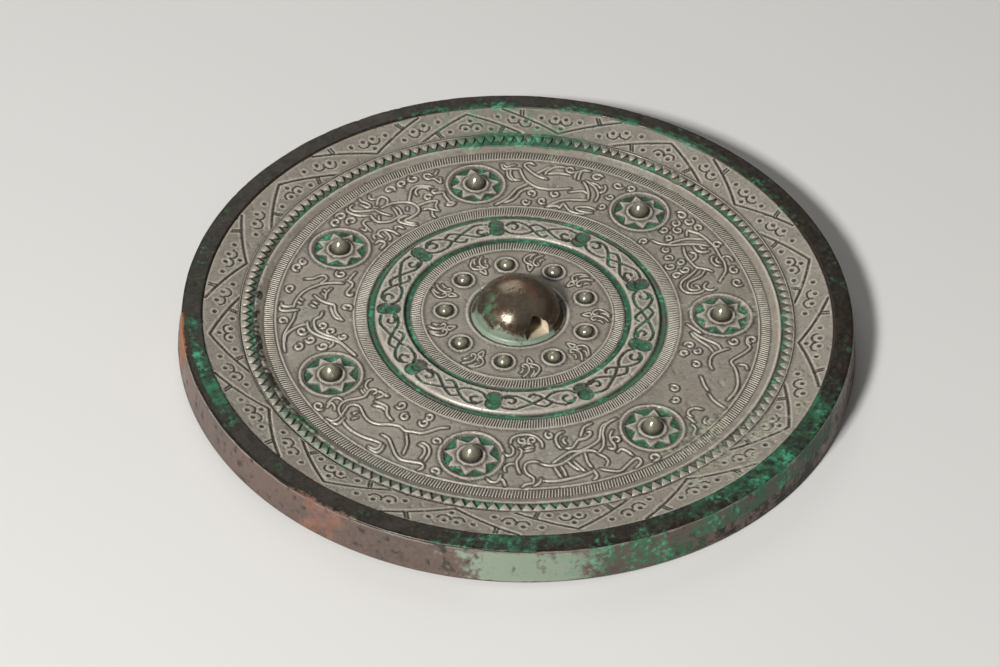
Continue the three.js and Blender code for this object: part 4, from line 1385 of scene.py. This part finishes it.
@dataclass
class CreatureRing:
    """The main zone: seven star bosses, and a creature in thread relief between each two."""

    circle: float = 63.2
    start: float = -27.5
    drift: tuple[float, ...] = (0, -0.7, -1, -1.7, 0.9, -0.2, -0.1)  # degrees off an even seventh
    lead_in: float = 2.2
    outer_ring: float = 9.4
    ground: float = 8.1
    hub: float = 3.9
    points: int = 8
    boss_radius: float = 2.9
    boss_height: float = 4.3

    def star_angles(self) -> list[float]:
        """Where the star bosses stand, in degrees."""
        return [self.start + 360 / len(self.drift) * i + off for i, off in enumerate(self.drift)]

    def figures(self) -> list[np.ndarray]:
        """The lines of all the creatures and their curls."""
        choice = np.random.default_rng(5)
        lines = []
        for creature, angle in zip(CREATURES, self.star_angles()):
            cell = Unrolled(angle - math.degrees(self.lead_in / self.circle), self.circle)
            lines += [cell.line(list(stroke)) for stroke in creature.strokes]
            for centre in creature.curls:
                size, start, turn = choice.uniform(1.35, 1.75), choice.uniform(0, 360), choice.choice((-1, 1))
                lines.append(cell.line(curl(centre, size, start, turn), 0.45))
        return lines

    def star_radius(self, angle: np.ndarray) -> np.ndarray:
        """Radius of the concave star at each direction."""
        part = (angle * self.points / (2 * math.pi)) % 1.0
        hollow = 0.7 * self.ground
        return hollow + (self.ground + 0.2 - hollow) * np.abs(2 * part - 1) ** 1.7

    def carve_star(self, ring: ReliefRing, angle: float) -> None:
        """Cuts one star boss's ground and raises its rings."""
        x, y = self.circle * math.cos(angle), self.circle * math.sin(angle)
        rows, columns, away, direction = ring.local(x, y, self.outer_ring + 1.5)
        star = self.star_radius(direction - angle)
        sunk = 1 / (1 + np.exp(-(away - star) * 9))
        sunk = sunk * (1 - soft_step(away, self.ground - 0.15, self.ground + 0.2))
        change = 0.42 * bump(away - self.outer_ring, 0.5) + 0.45 * bump(away - self.hub, 0.5) - 0.5 * sunk
        change = change - 0.1 * (1 - soft_step(np.abs(away - self.outer_ring + 0.85), 0.1, 0.5))
        ring.height[rows, columns] += change
        ring.green[rows, columns] = np.maximum(ring.green[rows, columns], 0.78 * sunk)
        edges = np.maximum(1 - soft_step(np.abs(away - self.ground), 0.1, 0.5), 1 - soft_step(np.abs(away - star), 0.1, 0.45))
        edges = edges * (away < self.ground + 0.5)
        foot = 1 - soft_step(np.abs(away - self.boss_radius - 0.2), 0.15, 0.6)
        outside = 1 - soft_step(np.abs(away - self.outer_ring - 0.75), 0.1, 0.45)
        shade = np.maximum.reduce([0.9 * edges, foot, 0.7 * outside, 0.55 * sunk])
        ring.shade[rows, columns] = np.maximum(ring.shade[rows, columns], shade)

    def build(self, shop: Workshop) -> None:
        """Makes the ground, the creatures and the star bosses."""
        ring = ReliefRing("creature_ring", 50.2, 75.3, 76, 1200)
        lines = self.figures()
        ring.spread_foot(lines, 0.55, 0.14)
        for angle in self.star_angles():
            self.carve_star(ring, math.radians(angle))
        ring.build(shop.finishes.back)
        sweep("creatures", shop.threads, lines, 0.48, shop.finishes.back)
        boss = turned("star_boss", self.dome(), 24)
        mark_relief(boss, 0.0, self.boss_height)
        spots = []
        for angle in self.star_angles():
            turn = math.radians(angle)
            spots.append((self.circle * math.cos(turn), self.circle * math.sin(turn), FIELD, turn, 1.0))
        shop.on_points("star_bosses", boss, spots, shop.finishes.boss)

    def dome(self) -> Points:
        """Profile of a star boss, a tall dome drawn up to a blunt point."""
        shares = ((0, 1), (0.12, 0.98), (0.3, 0.92), (0.5, 0.82), (0.7, 0.66), (0.86, 0.46), (0.96, 0.24), (1.0, 0.0))
        return [*((self.boss_radius * r, self.boss_height * z) for r, z in shares), (self.boss_radius, -0.5), (0.0, -0.6)]


@dataclass
class ToothRing:
    """The outer comb ring, the smooth bank and the sawtooth ring."""

    strokes: int = 540
    teeth: int = 164
    tooth_length: float = 2.8
    tooth_base: float = 85.0

    def build(self, shop: Workshop) -> None:
        """Makes the ground, the comb strokes and the teeth."""
        ring = ReliefRing("tooth_ring", 75.3, 86.0, 40, 960)
        ring.shade = np.maximum(ring.shade, 1 - soft_step(np.abs(ring.radius - 81.7), 0.15, 0.5))
        ring.shade = np.maximum(ring.shade, 1 - soft_step(np.abs(ring.radius - 85.62), 0.1, 0.4))
        ring.shade = np.maximum(ring.shade, 0.5 * soft_step(ring.radius, 81.6, 81.9) * (1 - soft_step(ring.radius, 84.7, 85)))
        ring.build(shop.finishes.back)
        comb = {"count": self.strokes, "radius": 76.9, "height": FIELD - 0.16, "lean": -10, "uneven": 0.05, "seed": 7}
        shop.around("outer_comb", stroke_mesh(3.1, 0.5, 0.3), comb, shop.finishes.back)
        base = 2 * math.pi * self.tooth_base / self.teeth
        tooth = tooth_mesh(self.tooth_length, base, 0.6, 2.02)
        values = {"count": self.teeth, "radius": self.tooth_base, "height": FIELD, "uneven": 0.03, "seed": 9}
        shop.around("sawteeth", tooth, values, shop.finishes.back)


@dataclass
class FriezeRing:
    """The sloping frieze: angles that point out and in by turns, with dots and double arcs between."""

    reference: float = 91.0
    pitch: float = 45.0
    outward: float = -14.0
    inward: float = 8.5
    outward_drift: tuple[float, ...] = (0, -1.6, -3.75, -4.5, -4.4, -5, -3.75, -2)
    inward_drift: tuple[float, ...] = (-0.6, -0.6, -4.4, -3.5, -4.4, -3.5, -2.5, -0.6)
    dot_radius: float = 0.62

    OUTWARD_DOTS = ((-0.6, 92.0), (-7.3, 87.8), (-2.5, 88.4), (1.4, 88.7), (7.0, 88.2))
    INWARD_DOTS = ((-0.5, 89.2), (-6.3, 92.9), (-1.7, 93.2), (1.8, 93.2), (6.4, 93.0))
    STRIP_DOTS = ((9.9, 93.2), (15.0, 92.8), (19.2, 91.3), (23.3, 88.8))

    def angles(self) -> list[tuple[Unrolled, bool]]:
        """Each angle of the zigzag, with whether it points outward."""
        made = []
        for i, off in enumerate(self.outward_drift):
            made.append((Unrolled(self.outward + self.pitch * i + off, self.reference), True))
        for i, off in enumerate(self.inward_drift):
            made.append((Unrolled(self.inward + self.pitch * i + off, self.reference), False))
        return made

    def arcs(self, middle: float, radius: float, side: int, slope: float = 0.0) -> list[Points]:
        """Two small arcs side by side, open to one side."""
        lines = []
        for centre in (middle - 1.95, middle + 1.95):
            turns = [math.radians(180 * k / 4) for k in range(5)]
            base = radius + slope * (centre - middle)
            lines.append([(centre + 1.95 * math.cos(a), base + side * 1.7 * math.sin(a)) for a in turns])
        return lines

    def build(self, shop: Workshop) -> None:
        """Cuts the lines and sets the dots."""
        ring = ReliefRing("frieze_ring", 86.0, 97.0, 38, 1800)
        heavy, light, dots = [], [], []
        for spot, outward in self.angles():
            tip, open_end, reach = (94.9, 85.8, 18.2) if outward else (86.9, 96.4, 19.0)
            heavy += [spot.line([(side * reach, open_end), (0.0, tip)]) for side in (-1, 1)]
            if outward:
                arcs = self.arcs(-0.5, 89.0, 1)
                marks = [[(side * 10.4, 86.3), (side * 11.5, 88.7)] for side in (-1, 1)]
                for side in (-1, 1):
                    dots += [spot.place(np.array([(side * s, r)]))[0] for s, r in self.STRIP_DOTS]
                    arcs += [[(side * s, r) for s, r in line] for line in self.arcs(17.1, 91.2, -1, slope=-0.36)]
                dots += [spot.place(np.array([dot]))[0] for dot in self.OUTWARD_DOTS]
            else:
                arcs = self.arcs(0.0, 92.4, -1)
                marks = [[(-13.0, 93.2), (-11.5, 96.0)], [(13.0, 93.5), (12.8, 96.0)]]
                dots += [spot.place(np.array([dot]))[0] for dot in self.INWARD_DOTS]
            light += [spot.line(line, 0.5) for line in arcs]
            light += [spot.line([(s + shift, r) for s, r in mark]) for mark in marks for shift in (-0.45, 0.45)]
        ring.cut(heavy, 0.95, 0.3)
        ring.cut(light, 0.75, 0.24)
        for x, y in dots:
            rows, columns, away, _ = ring.local(x, y, 2.4)
            ring.height[rows, columns] += 0.08 * bump(away - 1.1, 0.4)
            ring.height[rows, columns] -= 0.28 * bump(away, self.dot_radius + 0.1)
            dark = 1 - soft_step(away, self.dot_radius - 0.15, self.dot_radius + 0.35)
            ring.shade[rows, columns] = np.maximum(ring.shade[rows, columns], dark)
        ring.build(shop.finishes.back)


@dataclass
class Knob:
    """The domed knob, pierced for a cord."""

    radius: float = 13.2
    height: float = 11.3
    roundness: float = 2.05
    width: float = 7.4
    arch: float = 6.4
    sill: float = 0.3
    sectors: int = 180

    def dome(self) -> bpy.types.Mesh:
        """The solid dome with its foot sunk into the field."""
        steps = 40
        profile = []
        for i in range(1, steps + 1):
            turn = math.pi / 2 * i / steps
            across = math.sin(turn) ** (2 / self.roundness)
            up = math.cos(turn) ** (2 / self.roundness) if i < steps else 0.0
            profile.append((self.radius * across, 0.5 + (self.height - 0.5) * up))
        profile += [(13.4, 0.25), (13.7, 0.0), (14.1, -0.2), (14.4, -0.45), (14.5, -1.2)]
        table = np.array(profile)
        angle = np.arange(self.sectors) * 2 * math.pi / self.sectors
        x, y = table[:, :1] * np.cos(angle), table[:, :1] * np.sin(angle)
        z = np.repeat(table[:, 1:], self.sectors, axis=1)
        swell = 1 + 0.006 * (WARP.at(x, y, z, 8, 3) - 0.5) - 0.012 * soft_step(PITS.at(y, x, z, 2.4, 3), 0.78, 0.98)
        rings = np.stack([x * swell, y * swell, FIELD + z * swell], -1)
        return shell("knob", rings, [0, 0, FIELD + self.height], [0, 0, FIELD - 1.3])

    def tunnel(self) -> bpy.types.Mesh:
        """The space that the cord runs through, with broken edges at its mouths."""
        sections, arc = 41, 12
        half = self.width / 2
        rings = []
        for i in range(sections):
            y = -16 + 32 * i / (sections - 1)
            outline = [(-half, 0.0), (half, 0.0)]
            for k in range(arc + 1):
                turn = math.pi * k / arc
                outline.append((half * math.cos(turn), self.arch * (0.4 + 0.6 * math.sin(turn))))
            across, up = np.array(outline).T
            mouth = soft_step(np.abs(np.array(y)), 8.0, 12.5)
            chip = PITS.at(across * 1.3, np.full_like(across, y), up * 1.3, 3.4, 3) - 0.45
            grow = 1 + 0.42 * mouth * chip + 0.03 * chip
            peak = 1 + 0.1 * mouth * (np.abs(across) < 1.6) * (up > 3)
            rings.append(np.stack([across * grow, np.full_like(across, y), FIELD + self.sill + up * grow * peak], -1))
        points = np.array(rings)
        count = points.shape[1]
        faces = [
            [i * count + k, (i + 1) * count + k, (i + 1) * count + (k + 1) % count, i * count + (k + 1) % count]
            for i in range(sections - 1)
            for k in range(count)
        ]
        faces += [list(range(count)), list(range((sections - 1) * count, sections * count))[::-1]]
        return new_mesh("tunnel", points.reshape(-1, 3), faces)

    def build(self, shop: Workshop) -> bpy.types.Object:
        """Cuts the tunnel from the dome and finishes both."""
        dome, cutter = held(self.dome()), held(self.tunnel())
        modifier = dome.modifiers.new("tunnel", "BOOLEAN")
        modifier.operation, modifier.solver, modifier.object = "DIFFERENCE", "EXACT", cutter
        bpy.context.view_layer.update()
        mesh = bpy.data.meshes.new_from_object(dome.evaluated_get(bpy.context.evaluated_depsgraph_get()))
        for holder in (dome, cutter):
            bpy.data.objects.remove(holder)
        mesh.name = "knob"
        points = points_of(mesh)
        x, y, z = points.T
        level = np.clip((z - FIELD - 0.5) / (self.height - 0.5), 0, 1.2)
        depth = (np.hypot(x, y) / self.radius) ** self.roundness + level**self.roundness
        inside = (depth < 0.93) & (np.abs(x) < self.width)
        # Painted light: the half of the cord hole that faces the key light gets the pale finish.
        pale = inside & (x > -0.3) & (y < -4.5)
        for polygon in mesh.polygons:
            polygon.material_index = int(any(pale[v] for v in polygon.vertices))
        mesh.set_sharp_from_angle(angle=math.radians(38))
        lumps = PITS.at(x, y, z, 4, 3)
        # Painted highlight on the upper dome.
        crest_highlight = soft_step(z, FIELD + 5, FIELD + 11) * 0.35
        # Painted shade in the other half of the cord hole and round the dome's foot.
        hollow = np.where(inside & ~pale, 1.0, np.where(pale, 0.0, soft_step(FIELD + 0.6 - z, 0, 0.8) * 0.6))
        side = soft_step(-x + 0.3 * y, 2, 11)
        low = (1 - soft_step(z, FIELD + 1.5, FIELD + 6.5)) * soft_step(-x - y, 0, 9)
        relief = np.stack([crest_highlight, hollow, np.where(inside, 0, 0.52 * side * (1 - 0.7 * low)), 0 * lumps], 1)
        stain(mesh, relief)
        stains = np.zeros((len(points), 4))
        red = np.maximum(1 - np.hypot(x + 1, y - 7) / 5, 1 - np.hypot((x - 2.5) * 0.9 + (y + 1) * 0.45, (y + 1) * 0.3) / 3.2)
        stains[:, 0] = np.where(inside, 0, np.clip(red, 0, 1) ** 0.5 * 0.62)
        stains[:, 1] = np.where(inside, 0, 0.72 * low)
        put_colour(mesh, "stains", stains)
        return show(mesh, shop.finishes.knob, shop.finishes.bore)


@dataclass
class Studio:
    """The pale floor, the soft lights and the camera."""

    azimuth: float = -29.0
    elevation: float = 43.175
    roll: float = 1.669
    distance: float = 783.1
    target: tuple[float, float, float] = (-9.275, -5.8, 7.6)
    lens: float = 91.85
    lamp_distance: float = 2.0  # metres
    floor_gap: float = 0.0001  # metres, so that the flat spot and the floor don't share a plane

    def back(self, azimuth: float, elevation: float) -> Vector:
        """The direction from the mirror towards a place in the studio."""
        a, e = math.radians(azimuth), math.radians(elevation)
        return Vector((math.sin(a) * math.cos(e), -math.cos(a) * math.cos(e), math.sin(e)))

    def floor(self) -> None:
        """A plain pale floor."""
        side = 2.5
        mesh = bpy.data.meshes.new("floor")
        low = -self.floor_gap
        corners = [(-side, -side, low), (side, -side, low), (side, side, low), (-side, side, low)]
        mesh.from_pydata(corners, [], [[0, 1, 2, 3]])
        material = bpy.data.materials.new("pale_floor")
        material.use_nodes = True
        shader = material.node_tree.nodes["Principled BSDF"]
        shader.inputs["Base Color"].default_value = tone("cfcdc9")
        shader.inputs["Roughness"].default_value = 0.75
        mesh.materials.append(material)
        floor = bpy.data.objects.new("floor", mesh)
        bpy.context.scene.collection.objects.link(floor)

    def light(self, name: str, azimuth: float, elevation: float, size: float, power: float) -> None:
        """A square soft light that looks at the mirror."""
        data = bpy.data.lights.new(name, "AREA")
        data.shape, data.size, data.energy = "SQUARE", size, power
        lamp = bpy.data.objects.new(name, data)
        towards = self.back(azimuth, elevation)
        lamp.location = towards * self.lamp_distance
        lamp.rotation_euler = towards.to_track_quat("Z", "Y").to_euler()
        bpy.context.scene.collection.objects.link(lamp)

    def camera(self) -> None:
        """The camera, a little rolled."""
        data = bpy.data.cameras.new("camera")
        data.sensor_width, data.lens = 36.0, self.lens
        data.clip_start, data.clip_end = 0.05, 20
        camera = bpy.data.objects.new("camera", data)
        back = self.back(self.azimuth, self.elevation)
        right = Vector((0, 0, 1)).cross(back).normalized()
        up = back.cross(right)
        roll = math.radians(self.roll)
        rolled = right * math.cos(roll) + up * math.sin(roll)
        place = Vector(self.target) * MM + back * self.distance * MM
        camera.matrix_world = Matrix.Translation(place) @ Matrix((rolled, back.cross(rolled), back)).transposed().to_4x4()
        bpy.context.scene.collection.objects.link(camera)
        bpy.context.scene.camera = camera

    def build(self) -> None:
        """Sets up the studio."""
        scene = bpy.context.scene
        world = bpy.data.worlds.new("studio")
        world.use_nodes = True
        world.node_tree.nodes["Background"].inputs["Color"].default_value = (1.0, 0.98, 0.95, 1)
        world.node_tree.nodes["Background"].inputs["Strength"].default_value = 0.11
        scene.world = world
        scene.view_settings.view_transform = "Standard"
        self.floor()
        self.light("key", -63, 37, 0.3, 58.0)
        self.light("fill", 60, 50, 1.8, 2.0)
        self.light("rim", 165, 40, 1.0, 6.0)
        self.camera()


def main() -> None:
    """Builds the mirror piece by piece and sets up the studio."""
    logging.basicConfig(level=logging.INFO, format="%(name)s: %(message)s")
    shop = Workshop()
    for part in (Plate(), BossRing(), ScrollRing(), CreatureRing(), ToothRing(), FriezeRing(), Knob()):
        LOG.info("building %s", type(part).__name__)
        part.build(shop)
    Studio().build()


if __name__ == "__main__":
    main()
